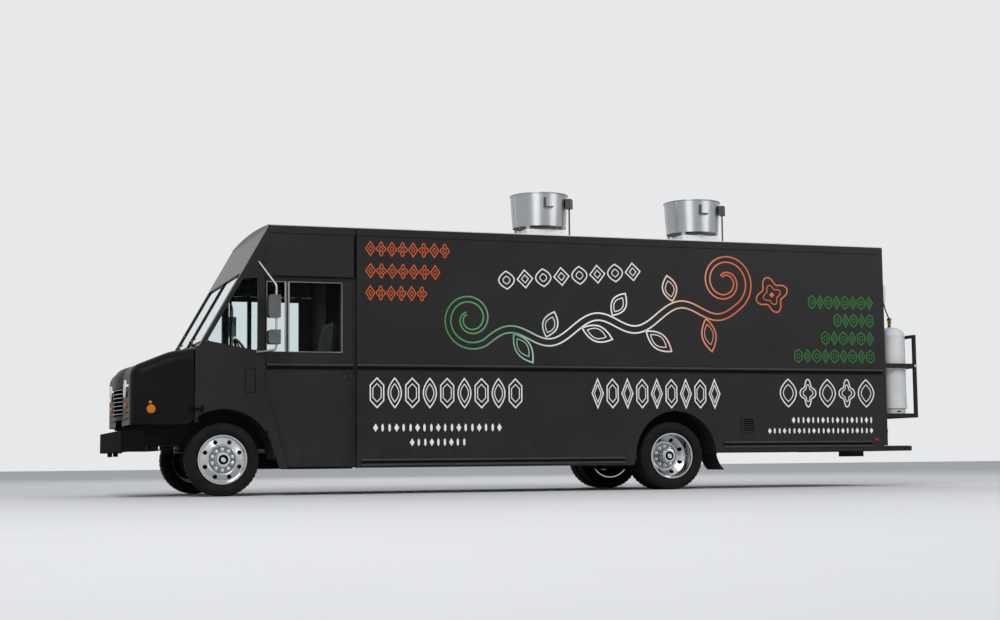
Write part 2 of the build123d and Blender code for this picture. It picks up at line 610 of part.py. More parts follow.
SASHES = 3
SASH_FRAME = 40.0
WINDOW_DEEP = 30.0
PANE_EACH = 12.0
with BuildPart() as serving_window:
    inner = INNER_W - WINDOW_DEEP
    block(HATCH_X, (inner, INNER_W), HATCH_Z)
    sash = (HATCH_X[1] - HATCH_X[0]) / SASHES
    for index in range(SASHES):
        x = (HATCH_X[0] + index * sash + SASH_FRAME, HATCH_X[0] + (index + 1) * sash - SASH_FRAME)
        z = (HATCH_Z[0] + SASH_FRAME, HATCH_Z[1] - SASH_FRAME)
        block(x, (inner, inner + PANE_EACH), z, Mode.SUBTRACT)
        block(x, (INNER_W - PANE_EACH, INNER_W), z, Mode.SUBTRACT)
save(serving_window, "serving_window")

# Sliding doors, each with a raised window frame and two panes
WINDOW_ROOM = (32.0, 131.0)
WINDOW_SILL = 1571.0
WINDOW_HEAD = 67.0
WINDOW_X = (DOOR_FRONT + WINDOW_ROOM[0], CAB_BACK - WINDOW_ROOM[1])
WINDOW_Z = (WINDOW_SILL, DOOR_TOP - WINDOW_HEAD)
MULLION_X = (670.0, 713.0)
FRAME_W = 16.0
FRAME_OUT = 4.0
DOOR_BACK = BOX_FRONT + CLEAR
SILL_Z = DOOR_LOW + CLEAR
HANGERS_X = (620.0, 1260.0)
HANGER_LONG = 80.0
PULL_ROOM = (110.0, 60.0)
PULL_X = (CAB_BACK - PULL_ROOM[0], CAB_BACK - PULL_ROOM[1])
PULL_Z = (1250.0, 1340.0)
PULL_DEEP = 12.0
PANES = (
    # low X, high X
    (WINDOW_X[0], MULLION_X[0]),
    (MULLION_X[1], WINDOW_X[1]),
)
for label, side in (("driver_door", -1), ("passenger_door", 1)):
    y = pair(side, DOOR_SKIN_Y, DOOR_SKIN_Y - DOOR_THICK)
    with BuildPart() as door:
        side_plate([(DOOR_FRONT + CLEAR, DOOR_TOP - CLEAR), (DOOR_FRONT + CLEAR, DOOR_KNEE_Z),
                    (DOOR_TOE_X + CLEAR, SILL_Z), (DOOR_BACK, SILL_Z), (DOOR_BACK, DOOR_TOP - CLEAR)], y)
        for low, high in PANES:
            block((low - FRAME_W, high + FRAME_W), pair(side, DOOR_SKIN_Y, DOOR_SKIN_Y + FRAME_OUT),
                  (WINDOW_Z[0] - FRAME_W, WINDOW_Z[1] + FRAME_W))
        for low, high in PANES:
            block((low, high), pair(side, DOOR_SKIN_Y + FRAME_OUT, DOOR_SKIN_Y - DOOR_THICK), WINDOW_Z,
                  Mode.SUBTRACT)
        for hanger in HANGERS_X:
            block((hanger, hanger + HANGER_LONG), y, (DOOR_TOP - CLEAR, DOOR_TOP - GAP))
        rail((DOOR_FRONT + CLEAR + HATCH_END, CAB_BACK), side, DOOR_SKIN_Y, BELT_Z, BELT_PROFILE)
        block(PULL_X, pair(side, DOOR_SKIN_Y, DOOR_SKIN_Y - PULL_DEEP), PULL_Z, Mode.SUBTRACT)
    save(door, label)
    with BuildPart() as panes:
        for low, high in PANES:
            block((low, high), pair(side, DOOR_SKIN_Y - PANE_EACH, DOOR_SKIN_Y - PANE_EACH - GLASS), WINDOW_Z)
    save(panes, label + "_glass")

# Hood: its side profile rises from the front to a knee and on to the seam, rounded along both sides
HOOD_LOW = 775.0
HOOD_SKIN = 12.0
HOOD_BACK = SEAM_X - CLEAR
HOOD_KNEE = (-577.0, 1557.0)
HOOD_FRONT_Z = 1390.0
HOOD_TOP = 1603.0
HOOD_ROUND = 130.0
BROW_ROUND = 150.0
KNEE_ROUND = 500.0
HOOD_SLOPE = (HOOD_TOP - HOOD_KNEE[1]) / (HOOD_BACK - HOOD_KNEE[0])
SLANT = 0.8


def hood_form(inset, low, back):
    """The hood's outer form, or the same form set in by a thickness."""
    half = HALF_W - inset
    with BuildPart() as form:
        with BuildSketch(side_plane(half)):
            with BuildLine():
                top_z = HOOD_TOP + (back - HOOD_BACK) * HOOD_SLOPE - inset
                front = HOOD_FRONT + inset
                line = FilletPolyline((front, low), (front, HOOD_FRONT_Z - SLANT * inset),
                                      (HOOD_KNEE[0], HOOD_KNEE[1] - inset), (back, top_z),
                                      radius=[BROW_ROUND - inset, KNEE_ROUND])
                Polyline((front, low), (back, low), line @ 1)
            make_face()
        extrude(amount=2 * half)
        side_edges = form.edges().filter_by(lambda edge: abs(edge.center().Y) > half - GAP)
        above = side_edges.filter_by(lambda edge: edge.center().Z > low + TOUCH)
        rounded = above.filter_by(lambda edge: edge.center().X < at(back) - TOUCH)
        fillet(rounded, HOOD_ROUND - inset)
    return form.part


# Nose: the grille's housing, bowed across the front, that stands out of the hood
NOSE_FRONT = -1040.0
NOSE_HALF = 450.0
NOSE_BOW = 70.0
NOSE_LOW = 839.0
NOSE_TOP_Z = 1395.0
NOSE_END = (-600.0, 1540.0)
NOSE_ROUND = 150.0
NOSE_CORNER = 35.0
NOSE_R = (NOSE_HALF ** 2 + NOSE_BOW ** 2) / (2 * NOSE_BOW)
NOSE_AXIS = NOSE_FRONT + NOSE_R
GRILLE_Z = (885.0, 1195.0)
GRILLE_HALF = 400.0


def nose_form(inset):
    """The nose's outer form, or the same form set in by a thickness."""
    with BuildPart() as form:
        with BuildSketch(Plane(origin=(at(NOSE_AXIS), 0, 0), x_dir=(1, 0, 0), z_dir=(0, -1, 0))):
            with BuildLine():
                front = inset - NOSE_R
                end = NOSE_END[0] - NOSE_AXIS
                low = NOSE_LOW - SHEET * inset
                line = FilletPolyline((front, low), (front, NOSE_TOP_Z - SLANT * inset),
                                      (end, NOSE_END[1] - inset), radius=NOSE_ROUND - inset)
                Polyline((front, low), (end, low), line @ 1)
            make_face()
        revolve(axis=Axis((at(NOSE_AXIS), 0, 0), (0, 0, 1)))
        half = NOSE_HALF - inset
        block((NOSE_FRONT, NOSE_END[0] - SHEET), (-half, half), (0, FAR), Mode.INTERSECT)
        side_edges = form.edges().filter_by(lambda edge: abs(edge.center().Y) > half - GAP)
        above = side_edges.filter_by(lambda edge: edge.center().Z > low + TOUCH)
        rounded = above.filter_by(lambda edge: edge.center().X < at(NOSE_END[0]) - SHEET - TOUCH)
        fillet(rounded, NOSE_CORNER - inset)
    return form.part


CREASE_Z = 839.0
CREASE_H = 6.0
CREASE_DEEP = 4.0
LEDGE_Z = (848.0, 910.0)
LEDGE_Y = (500.0, 950.0)
LEDGE_H = 8.0
LEDGE_OUT = 14.0
ARM_FRONT = 4.0
ARM_REACH = (-15.0, 75.0)
hood_outer = hood_form(0, HOOD_LOW, HOOD_BACK)
hood_inner = hood_form(HOOD_SKIN, HOOD_LOW - WALL, SEAM_X + WALL)
crease_bed = hood_form(CREASE_DEEP, HOOD_LOW, SEAM_X)
nose_outer = nose_form(0)
nose_inner = nose_form(HOOD_SKIN)
with BuildPart() as crease:
    block((HOOD_FRONT, HOOD_BACK), (-HALF_W, HALF_W), (CREASE_Z - CREASE_H, CREASE_Z))
    add(crease_bed, mode=Mode.SUBTRACT)

with BuildPart() as hood_shell:
    add(hood_outer)
    add(crease.part, mode=Mode.SUBTRACT)
    add(nose_outer)
    add(hood_inner, mode=Mode.SUBTRACT)
    add(nose_inner, mode=Mode.SUBTRACT)
    for side in SIDES:
        barrel(0, TYRE_R, FRONT_ARCH_R, pair(side, INNER_W, HALF_W + SHEET), Mode.SUBTRACT)
        for z in LEDGE_Z:
            block((HOOD_FRONT - LEDGE_OUT, HOOD_FRONT + TOUCH), pair(side, *LEDGE_Y),
                  (z - LEDGE_H / 2, z + LEDGE_H / 2))
        y = pair(side, *ARM_Y)
        block((HOOD_FRONT + ARM_FRONT, PIVOT[0] + LUG_FRONT), y,
              (PIVOT[1] + ARM_REACH[0], PIVOT[1] + ARM_REACH[1]))
        barrel(PIVOT[0], PIVOT[1], PIN_R + GAP, y, Mode.SUBTRACT)
    block((NOSE_FRONT - SHEET, NOSE_FRONT + 2 * NOSE_BOW), (-GRILLE_HALF, GRILLE_HALF), GRILLE_Z, Mode.SUBTRACT)
save(hood_shell, "hood_shell")

BARS = 7
BAR_H = 22.0
BAR_DEEP = 14.0
RIB_Y = (-320.0, -160.0, 0.0, 160.0, 320.0)
RIB_HALF = 5.0
with BuildPart() as grille:
    pitch = (GRILLE_Z[1] - GRILLE_Z[0]) / BARS
    for index in range(BARS):
        low = GRILLE_Z[0] + (index + 0.5) * pitch - BAR_H / 2
        with BuildSketch(Plane(origin=(at(NOSE_AXIS), 0, low))) as bar:
            Circle(NOSE_R)
            Circle(NOSE_R - BAR_DEEP, mode=Mode.SUBTRACT)
            with Locations((-NOSE_R, 0)):
                Rectangle(GRILLE_HALF, 2 * GRILLE_HALF, mode=Mode.INTERSECT)
        extrude(bar.sketch, amount=BAR_H)
    for y in RIB_Y:
        x = NOSE_AXIS - math.sqrt(NOSE_R ** 2 - y ** 2) + BAR_DEEP
        block((x - RIB_HALF, x + RIB_HALF), (y - RIB_HALF, y + RIB_HALF), GRILLE_Z)
save(grille, "grille")

# Lamps as (out from the face, radius) profiles
LAMP_INSET = 440.0
LAMP_Y = HALF_W - LAMP_INSET
LAMP_Z = 1170.0
LAMP_PROFILE = ((0.0, 0.0), (0.0, 97.0), (16.0, 97.0), (24.0, 92.0), (24.0, 84.0), (12.0, 80.0), (24.0, 50.0),
                (29.0, 0.0))
with BuildPart() as headlights:
    for side in SIDES:
        turn(LAMP_PROFILE, (at(HOOD_FRONT), side * LAMP_Y, LAMP_Z), (-1, 0, 0))
save(headlights, "headlights")

SIDE_LAMP = (-776.0, 938.0)
REFLECTOR = (-784.0, 1012.0)
TURN_LAMP_Z = 988.0
SIDE_LAMP_PROFILE = ((0.0, 0.0), (0.0, 47.0), (14.0, 47.0), (22.0, 38.0), (25.0, 0.0))
REFLECTOR_PROFILE = ((0.0, 0.0), (0.0, 16.0), (6.0, 16.0), (8.0, 0.0))
TURN_LAMP_PROFILE = ((0.0, 0.0), (0.0, 30.0), (14.0, 30.0), (20.0, 22.0), (22.0, 0.0))
with BuildPart() as hood_lamps:
    for side in SIDES:
        along = (0, side, 0)
        turn(SIDE_LAMP_PROFILE, (at(SIDE_LAMP[0]), side * HALF_W, SIDE_LAMP[1]), along)
        turn(REFLECTOR_PROFILE, (at(REFLECTOR[0]), side * HALF_W, REFLECTOR[1]), along)
        turn(TURN_LAMP_PROFILE, (at(HOOD_FRONT), side * LAMP_Y, TURN_LAMP_Z), (-1, 0, 0))
save(hood_lamps, "hood_lamps")

# Front bumper: a channel with swept-back ends, on two brackets
BUMPER_ROOM = 50.0
BUMPER_HALF = HALF_W - BUMPER_ROOM
BUMPER_Z = (487.0, 713.0)
FLANGE_DEEP = 85.0
TOP_BACK = 258.0
BRACKET_Y = (400.0, 465.0)
BRACKET_Z = (570.0, 700.0)
END_W = 40.0
HOOK_Y = (300.0, 330.0)
HOOK_Z = (440.0, 487.0)
HOOK_X = 60.0
with BuildPart() as front_bumper:
    block((BUMPER_FRONT, BUMPER_FRONT + PLATE), (-BUMPER_HALF, BUMPER_HALF), BUMPER_Z)
    for z in (BUMPER_Z[0], BUMPER_Z[1] - PLATE):
        block((BUMPER_FRONT, BUMPER_FRONT + FLANGE_DEEP), (-BUMPER_HALF, BUMPER_HALF), (z, z + PLATE))
    for side in SIDES:
        block((BUMPER_FRONT, BUMPER_FRONT + TOP_BACK), pair(side, BUMPER_HALF, BUMPER_HALF - PLATE), BUMPER_Z)
        block((BUMPER_FRONT, BUMPER_FRONT + TOP_BACK), pair(side, BUMPER_HALF, BUMPER_HALF - END_W),
              (BUMPER_Z[1] - PLATE, BUMPER_Z[1]))
        block((BUMPER_FRONT, FRAME_FRONT), pair(side, *BRACKET_Y), BRACKET_Z)
        block((BUMPER_FRONT + PLATE, BUMPER_FRONT + HOOK_X), pair(side, *HOOK_Y), HOOK_Z)
save(front_bumper, "front_bumper")

# Rear step with a hitch receiver below it
STEP_TOP = 494.0
STEP_THICK = 60.0
STEP_SHORT = 75.0
STEP_ROOM = 100.0
STEP_END = CAGE_REAR - STEP_SHORT
STEP_HALF = HALF_W - STEP_ROOM
STEP_LOW = STEP_TOP - STEP_THICK
STEP_SET = 5.0
BEARER_LONG = 507.0
BEARER_FRONT = BOX_REAR - BEARER_LONG
RECEIVER_SHORT = 40.0
RECEIVER_END = STEP_END - RECEIVER_SHORT
RECEIVER_DROP = 92.0
RECEIVER_Z = STEP_TOP - RECEIVER_DROP
RECEIVER_OUT = 32.0
RECEIVER_IN = 25.5
RECEIVER_DEEP = 250.0
RECEIVER_PIN_R = 8.0
RECEIVER_PIN_IN = 45.0
RECEIVER_PIN_X = RECEIVER_END - RECEIVER_PIN_IN
with BuildPart() as rear_step:
    block((BOX_REAR + STEP_SET, STEP_END), (-STEP_HALF, STEP_HALF), (STEP_LOW, STEP_TOP))
    for side in SIDES:
        y = pair(side, *BRACKET_Y)
        block((BEARER_FRONT, BOX_REAR + POCKET_CAP), y, (STEP_LOW, STEP_TOP))
        block((BEARER_FRONT, FRAME_REAR), y, (STEP_TOP, RAIL_LOW))
    block((BOX_REAR + POCKET_CAP, RECEIVER_END), (-RECEIVER_OUT, RECEIVER_OUT),
          (RECEIVER_Z - RECEIVER_OUT, STEP_LOW))
    block((RECEIVER_END - RECEIVER_DEEP, RECEIVER_END), (-RECEIVER_IN, RECEIVER_IN),
          (RECEIVER_Z - RECEIVER_IN, RECEIVER_Z + RECEIVER_IN), Mode.SUBTRACT)
    barrel(RECEIVER_PIN_X, RECEIVER_Z, RECEIVER_PIN_R, (-RECEIVER_OUT - PLATE, RECEIVER_OUT + PLATE),
           Mode.SUBTRACT)
save(rear_step, "rear_step")

# Mud flaps, curving back behind the rear wheels
FLAP_IN = 430.0
FLAP_ROOM = 20.0
FLAP_X = REAR_ARCH_X + REAR_ARCH_R + FLAP_ROOM
FLAP_TOP = 520.0
FLAP_BEND = (16.0, 340.0)
FLAP_TIP = (95.0, 225.0)
with BuildPart() as mud_flaps:
    for side in SIDES:
        y = pair(side, INNER_W - FLAP_IN, INNER_W - GAP)
        with BuildSketch(side_plane(y[1])) as flap:
            with BuildLine():
                front = ThreePointArc((FLAP_X, FLAP_TOP), (FLAP_X + FLAP_BEND[0], FLAP_BEND[1]),
                                      (FLAP_X + FLAP_TIP[0], FLAP_TIP[1]))
                back = ThreePointArc((FLAP_X + SHEET, FLAP_TOP),
                                     (FLAP_X + FLAP_BEND[0] + SHEET, FLAP_BEND[1] + SHEET / 4),
                                     (FLAP_X + FLAP_TIP[0] + SHEET / 2, FLAP_TIP[1] + SHEET))
                Line(front @ 0, back @ 0)
                Line(front @ 1, back @ 1)
            make_face()
        extrude(flap.sketch, amount=y[1] - y[0])
save(mud_flaps, "mud_flaps")

# Cab fittings
DASH_ROOM = 100.0
DASH_HALF = INNER_W - DASH_ROOM
DASH = (
    (CAB_FLOOR_X, 1250.0),
    (CAB_FLOOR_X, 1540.0),
    (-200.0, 1600.0),
    (60.0, 1560.0),
    (100.0, 1480.0),
    (60.0, 1250.0),
)
DRIVER_ROOM = 650.0
DRIVER_Y = DRIVER_ROOM - HALF_W
COLUMN_R = 40.0
COLUMN = ((40.0, 1388.1), (135.0, 1444.4))
BINNACLE = (
    (-60.0, 1580.0),
    (-40.0, 1625.0),
    (60.0, 1600.0),
    (75.0, 1545.0),
)
BINNACLE_HALF = 190.0
with BuildPart() as dashboard:
    side_plate(DASH, (-DASH_HALF, DASH_HALF))
    side_plate(BINNACLE, (DRIVER_Y - BINNACLE_HALF, DRIVER_Y + BINNACLE_HALF))
    rod((COLUMN[0][0], DRIVER_Y, COLUMN[0][1]), (COLUMN[1][0], DRIVER_Y, COLUMN[1][1]), COLUMN_R)
save(dashboard, "dashboard")

WHEEL_HUB = (330.0, DRIVER_Y, 1560.0)
WHEEL_FOOT = (135.3, DRIVER_Y, 1444.6)
WHEEL_R = 210.0
WHEEL_RIM_R = 14.0
SPOKE_R = 10.0
SPOKES = (90.0, 210.0, 330.0)
STEM_R = 25.0
BOSS_R = 55.0
BOSS_H = 25.0
with BuildPart() as steering_wheel:
    rod(WHEEL_FOOT, WHEEL_HUB, STEM_R)
    hub = Vector(at(WHEEL_HUB[0]), WHEEL_HUB[1], WHEEL_HUB[2])
    lean = Vector(WHEEL_HUB[0] - WHEEL_FOOT[0], 0, WHEEL_HUB[2] - WHEEL_FOOT[2])
    plane = Plane(origin=hub, x_dir=(0, 1, 0), z_dir=lean)
    with BuildSketch(plane) as boss:
        Circle(BOSS_R)
    extrude(boss.sketch, amount=BOSS_H)
    with Locations(plane):
        Torus(WHEEL_R, WHEEL_RIM_R)
    for angle in SPOKES:
        turned = math.radians(angle)
        tip = plane.from_local_coords(Vector(WHEEL_R * math.cos(turned), WHEEL_R * math.sin(turned), 0))
        rod(WHEEL_HUB, (tip.X - SHIFT, tip.Y, tip.Z), SPOKE_R)
save(steering_wheel, "steering_wheel")

SEAT_HALF_W = 250.0
SEAT_Y = (DRIVER_Y - SEAT_HALF_W, DRIVER_Y + SEAT_HALF_W)
SEAT_ROUND = 45.0
BACK_ROUND = 20.0
PEDESTAL_IN = 70.0
PEDESTAL_X = (790.0, 1180.0)
CUSHION_X = (740.0, 1230.0)
CUSHION_Z = (1150.0, 1290.0)
BACK_REST = (
    (1170.0, 1250.0),
    (1190.0, 1290.0),
    (1260.0, 1960.0),
    (1340.0, 1960.0),
    (1310.0, 1250.0),
)
with BuildPart() as seat_back:
    side_plate(BACK_REST, (SEAT_Y[0] + SHEET, SEAT_Y[1] - SHEET))
    fillet(seat_back.edges().filter_by(Axis.Y).group_by(Axis.Z)[-1], BACK_ROUND)
with BuildPart() as driver_seat:
    block(CUSHION_X, SEAT_Y, CUSHION_Z)
    fillet(driver_seat.edges().filter_by(Axis.Z), SEAT_ROUND)
    add(seat_back.part)
    block(PEDESTAL_X, (SEAT_Y[0] + PEDESTAL_IN, SEAT_Y[1] - PEDESTAL_IN), (FLOOR_TOP, CUSHION_Z[0]))
save(driver_seat, "driver_seat")

# Roof fans: a cap on the curb, an open wind band on feet with a rolled rim, and the motor's domed pod
CAP_H = 60.0
CAP_TOP = CURB_TOP + CAP_H
BAND_LOW_R = 331.0
BAND_TOP_R = 356.0
BAND_GAP = 40.0
BAND_H = 400.0
BAND_SKIN = 6.0
BAND_LOW = CAP_TOP + BAND_GAP
BAND_TOP = BAND_LOW + BAND_H
BEAD_R = 8.0
INLET_R = 225.0
INLET_LIP = 18.0
POD_R = 190.0
POD_RISE = 250.0
POD_LOW = BAND_LOW + POD_RISE
POD_PROFILE = ((0.0, 0.0), (0.0, POD_R), (130.0, POD_R), (158.0, 150.0), (170.0, 60.0), (172.0, 0.0))
STRUTS = 4
STRUT_W = 6.0
STRUT_H = 50.0
STRUT_UP = 30.0
STRUT_Z = POD_LOW + STRUT_UP
STRUT_TURN = 45.0
FOOT_W = 50.0
FOOT_T = 16.0
FOOT_H = 30.0
LATCH_LONG = 118.0
LATCH_DEEP = 22.0
LATCH_BAR = 12.0
LATCH_LEFT = -65.0
LATCH_RISE = 218.0
BOX_ANGLE = -37.0
BOX_W = 112.0
BOX_DEEP = 64.0
BOX_H = 119.0
BOX_RISE = 227.0
with BuildPart() as fan_housings:
    for x in FAN_X:
        centre = (at(x), 0, 0)
        block((x - CURB / 2, x + CURB / 2), (-CURB / 2, CURB / 2), (CURB_TOP - CAP_H + SHEET, CAP_TOP))
        inner_curb = CURB / 2 - SHEET
        block((x - inner_curb, x + inner_curb), (-inner_curb, inner_curb), (CURB_TOP - CAP_H, CURB_TOP),
              Mode.SUBTRACT)
        turn([(CAP_TOP, INLET_R), (CAP_TOP, INLET_R - BAND_SKIN),
              (CAP_TOP + INLET_LIP, INLET_R - 2 * BAND_SKIN), (CAP_TOP + INLET_LIP, INLET_R - BAND_SKIN)],
             centre, (0, 0, 1))
        with Locations((at(x), 0, CAP_TOP + (BAND_GAP + FOOT_H) / 2)):
            with PolarLocations(BAND_LOW_R - TOUCH - FOOT_T / 2, STRUTS, start_angle=STRUT_TURN):
                Box(FOOT_T, FOOT_W, BAND_GAP + FOOT_H)
        turn([(BAND_LOW, BAND_LOW_R), (BAND_TOP, BAND_TOP_R), (BAND_TOP, BAND_TOP_R - BAND_SKIN),
              (BAND_LOW, BAND_LOW_R - BAND_SKIN)], centre, (0, 0, 1))
        with Locations((at(x), 0, BAND_TOP)):
            Torus(BAND_TOP_R, BEAD_R)
        turn([(POD_LOW + up, radius) for up, radius in POD_PROFILE], centre, (0, 0, 1))
        reach = BAND_TOP_R - POD_R - BAND_SKIN + TOUCH
        with Locations((at(x), 0, STRUT_Z)):
            with PolarLocations(POD_R - BAND_SKIN + reach / 2, STRUTS, start_angle=STRUT_TURN):
                Box(reach, STRUT_W, STRUT_H)
save(fan_housings, "fan_housings")

# Fan fittings: a latch and a switch box on each band, with its conduit down to the roof
CONDUIT_R = 10.0
with BuildPart() as fan_fittings:
    for x in FAN_X:
        y = -BAND_TOP_R
        left = x + LATCH_LEFT
        low = BAND_LOW + LATCH_RISE
        block((left, left + LATCH_DEEP), (y - LATCH_DEEP, y + SHEET), (low, low + LATCH_LONG))
        block((left, left + LATCH_LONG), (y - LATCH_DEEP, y + SHEET), (low, low + LATCH_BAR))
        with Locations((at(x), 0, BAND_LOW + BOX_RISE + BOX_H / 2)):
            with PolarLocations(BAND_TOP_R + BOX_DEEP / 2, 1, start_angle=BOX_ANGLE):
                Box(BOX_DEEP, BOX_W, BOX_H)
        out = math.radians(BOX_ANGLE)
        away = BAND_TOP_R + BOX_DEEP / 2
        foot = (x + away * math.cos(out), away * math.sin(out))
        rod((foot[0], foot[1], BAND_LOW + BOX_RISE), (foot[0], foot[1], EAVE_Z + CROWN / 2), CONDUIT_R)
        band = [(BAND_LOW, BAND_LOW_R), (BAND_TOP, BAND_TOP_R), (BAND_TOP, 0), (BAND_LOW, 0)]
        turn(band, (at(x), 0, 0), (0, 0, 1), Mode.SUBTRACT)
    add(roof.part, mode=Mode.SUBTRACT)
save(fan_fittings, "fan_fittings")

# Fan wheels: backward-curved blades between a back plate and a spun inlet ring
BLADES = 10
BLADE_T = 4.0
BLADE_H = 140.0
BLADE_IN = (105.0, 0.0)
BLADE_MID = (176.0, 34.0)
BLADE_OUT = (215.0, 98.0)
WHEEL_RISE = 50.0
WHEEL_LOW = BAND_LOW + WHEEL_RISE
PLATE_R = 240.0
RING_IN = 150.0
HUB_R = 50.0
SHAFT_TOP_R = 20.0
for label, x in (("fan_wheel_front", FAN_X[0]), ("fan_wheel_rear", FAN_X[1])):
    with BuildPart() as wheel:
        with BuildSketch(Plane.XY.offset(WHEEL_LOW)) as blades:
            with BuildLine():
                inner = ThreePointArc(BLADE_IN, BLADE_MID, BLADE_OUT)
                outer = ThreePointArc((BLADE_IN[0] + BLADE_T, BLADE_IN[1] - BLADE_T),
                                      (BLADE_MID[0] + BLADE_T, BLADE_MID[1] - BLADE_T),
                                      (BLADE_OUT[0] + BLADE_T, BLADE_OUT[1]))
                Line(inner @ 0, outer @ 0)
                Line(inner @ 1, outer @ 1)
            make_face()
        for index in range(BLADES):
            blade = Rot(0, 0, index * 360 / BLADES) * blades.sketch
            extrude(Pos(at(x), 0, 0) * blade, amount=BLADE_H)
        top = WHEEL_LOW + BLADE_H
        turn([(top, 0), (top, PLATE_R), (top + PLATE, PLATE_R), (top + PLATE, 0)], (at(x), 0, 0), (0, 0, 1))
        turn([(WHEEL_LOW - PLATE, RING_IN), (WHEEL_LOW, PLATE_R), (WHEEL_LOW + PLATE, PLATE_R),
              (WHEEL_LOW, RING_IN)], (at(x), 0, 0), (0, 0, 1))
        turn([(WHEEL_LOW, 0), (WHEEL_LOW, HUB_R), (top, HUB_R), (top + PLATE, SHAFT_TOP_R),
              (POD_LOW - GAP, SHAFT_TOP_R), (POD_LOW - GAP, 0)], (at(x), 0, 0), (0, 0, 1))
    save(wheel, label)

# Gas cylinders: foot ring, two capped ends and a neck
CYL_R = 186.0
CYL_BACK = 243.0
CYL_X = BOX_REAR + CYL_BACK
CYL_ROOM = (285.0, 705.0)
CYL_Y = (CYL_ROOM[0] - HALF_W, CYL_ROOM[1] - HALF_W)
CYL_Z = 896.0
CYL_H = 1094.0
DOME_R = 105.0
BASE_R = 30.0
FOOT_RING_R = 165.0
FOOT_RING_H = 66.0
NECK_R = 30.0
NECK_H = 14.0
CAP_LIP = 3.0
CAPS = (
    # low, high above the cylinder's foot
    (66.0, 120.0),
    (786.0, 800.0),
    (965.0, 985.0),
)
SLOT_W = 60.0
SLOT_Z = (CYL_Z + 18.0, CYL_Z + 36.0)


def gas_cylinder(y):
    """One upright cylinder at a place across the body."""
    foot = (at(CYL_X), y, CYL_Z)
    upward = (0, 0, 1)
    with BuildPart() as cylinder:
        with Locations((at(CYL_X), y, CYL_Z + FOOT_RING_H - SHEET)):
            Cylinder(CYL_R - CAP_LIP, CYL_H - FOOT_RING_H + SHEET - NECK_H,
                     align=(Align.CENTER, Align.CENTER, Align.MIN))
        ends = cylinder.edges().filter_by(GeomType.CIRCLE).sort_by(Axis.Z)
        fillet(ends[-1], DOME_R)
        fillet(ends[0], BASE_R)
        for low, high in CAPS:
            turn([(low, CYL_R - SHEET), (low, CYL_R), (high, CYL_R), (high, CYL_R - SHEET)], foot, upward)
        turn([(0, FOOT_RING_R), (FOOT_RING_H, FOOT_RING_R), (FOOT_RING_H, FOOT_RING_R - PLATE),
              (0, FOOT_RING_R - PLATE)], foot, upward)
        turn([(CYL_H - 2 * NECK_H, 0), (CYL_H - 2 * NECK_H, NECK_R), (CYL_H, NECK_R), (CYL_H, 0)], foot, upward)
        block((CYL_X - CYL_R, CYL_X + CYL_R), (y - SLOT_W / 2, y + SLOT_W / 2), SLOT_Z, Mode.SUBTRACT)
        block((CYL_X - SLOT_W / 2, CYL_X + SLOT_W / 2), (y - CYL_R, y + CYL_R), SLOT_Z, Mode.SUBTRACT)
    return cylinder.part


cylinders = [gas_cylinder(y) for y in CYL_Y]
with BuildPart() as gas_cylinders:
    for cylinder in cylinders:
        add(cylinder)
save(gas_cylinders, "gas_cylinders")

# Valves: (up from the neck, radius)
VALVE_PROFILE = ((0.0, 0.0), (0.0, 20.0), (45.0, 20.0), (52.0, 14.0), (78.0, 14.0), (84.0, 30.0),
                 (104.0, 30.0), (110.0, 24.0), (110.0, 0.0))
OUTLET_UP = 60.0
OUTLET_LONG = 50.0
OUTLET_R = 14.0
OUTLET_DIR = (-0.5, -math.sqrt(0.75))
NUT_R = 19.0
NUT_ROOT = 34.0
VALVE_Z = CYL_Z + CYL_H
OUTLET_Z = VALVE_Z + OUTLET_UP


def on_outlet(y, distance):
    """A point on the axis of a valve's outlet, at a distance from the valve's middle."""
    return (CYL_X + distance * OUTLET_DIR[0], y + distance * OUTLET_DIR[1], OUTLET_Z)


with BuildPart() as cylinder_valves:
    for y in CYL_Y:
        turn(VALVE_PROFILE, (at(CYL_X), y, VALVE_Z), (0, 0, 1))
        rod(on_outlet(y, 0), on_outlet(y, OUTLET_LONG), OUTLET_R)
        rod(on_outlet(y, NUT_ROOT), on_outlet(y, OUTLET_LONG), NUT_R)
save(cylinder_valves, "cylinder_valves")

# Cage: a tray, two rear posts with a top bar and a flat band round the cylinders
POST = 38.0
CAGE_ROOM = (68.0, 920.0)
CAGE_Y = (CAGE_ROOM[0] - HALF_W, CAGE_ROOM[1] - HALF_W)
TRAY_Z = (845.0, 894.0)
CAGE_TOP = 1879.0
BAND_BAR_Z = (1461.0, 1518.0)
BAND_BAR = 12.0
with BuildPart() as tank_cage:
    rear = (CAGE_REAR - POST, CAGE_REAR)
    outer = (CAGE_Y[0] - POST / 2, CAGE_Y[1] + POST / 2)
    for y in CAGE_Y:
        block(rear, (y - POST / 2, y + POST / 2), (TRAY_Z[0], CAGE_TOP))
    block(rear, outer, (CAGE_TOP - POST, CAGE_TOP))
    block(rear, outer, BAND_BAR_Z)
    for y in (outer[0], outer[1] - BAND_BAR):
        block((BOX_REAR, CAGE_REAR), (y, y + BAND_BAR), BAND_BAR_Z)
        block((BOX_REAR, CAGE_REAR), (y, y + BAND_BAR), TRAY_Z)
    block((BOX_REAR, BOX_REAR + BAND_BAR), outer, TRAY_Z)
    block((CAGE_REAR - BAND_BAR, CAGE_REAR), outer, TRAY_Z)
    block((BOX_REAR, CAGE_REAR), outer, (CYL_Z - SHEET, CYL_Z))
save(tank_cage, "tank_cage")

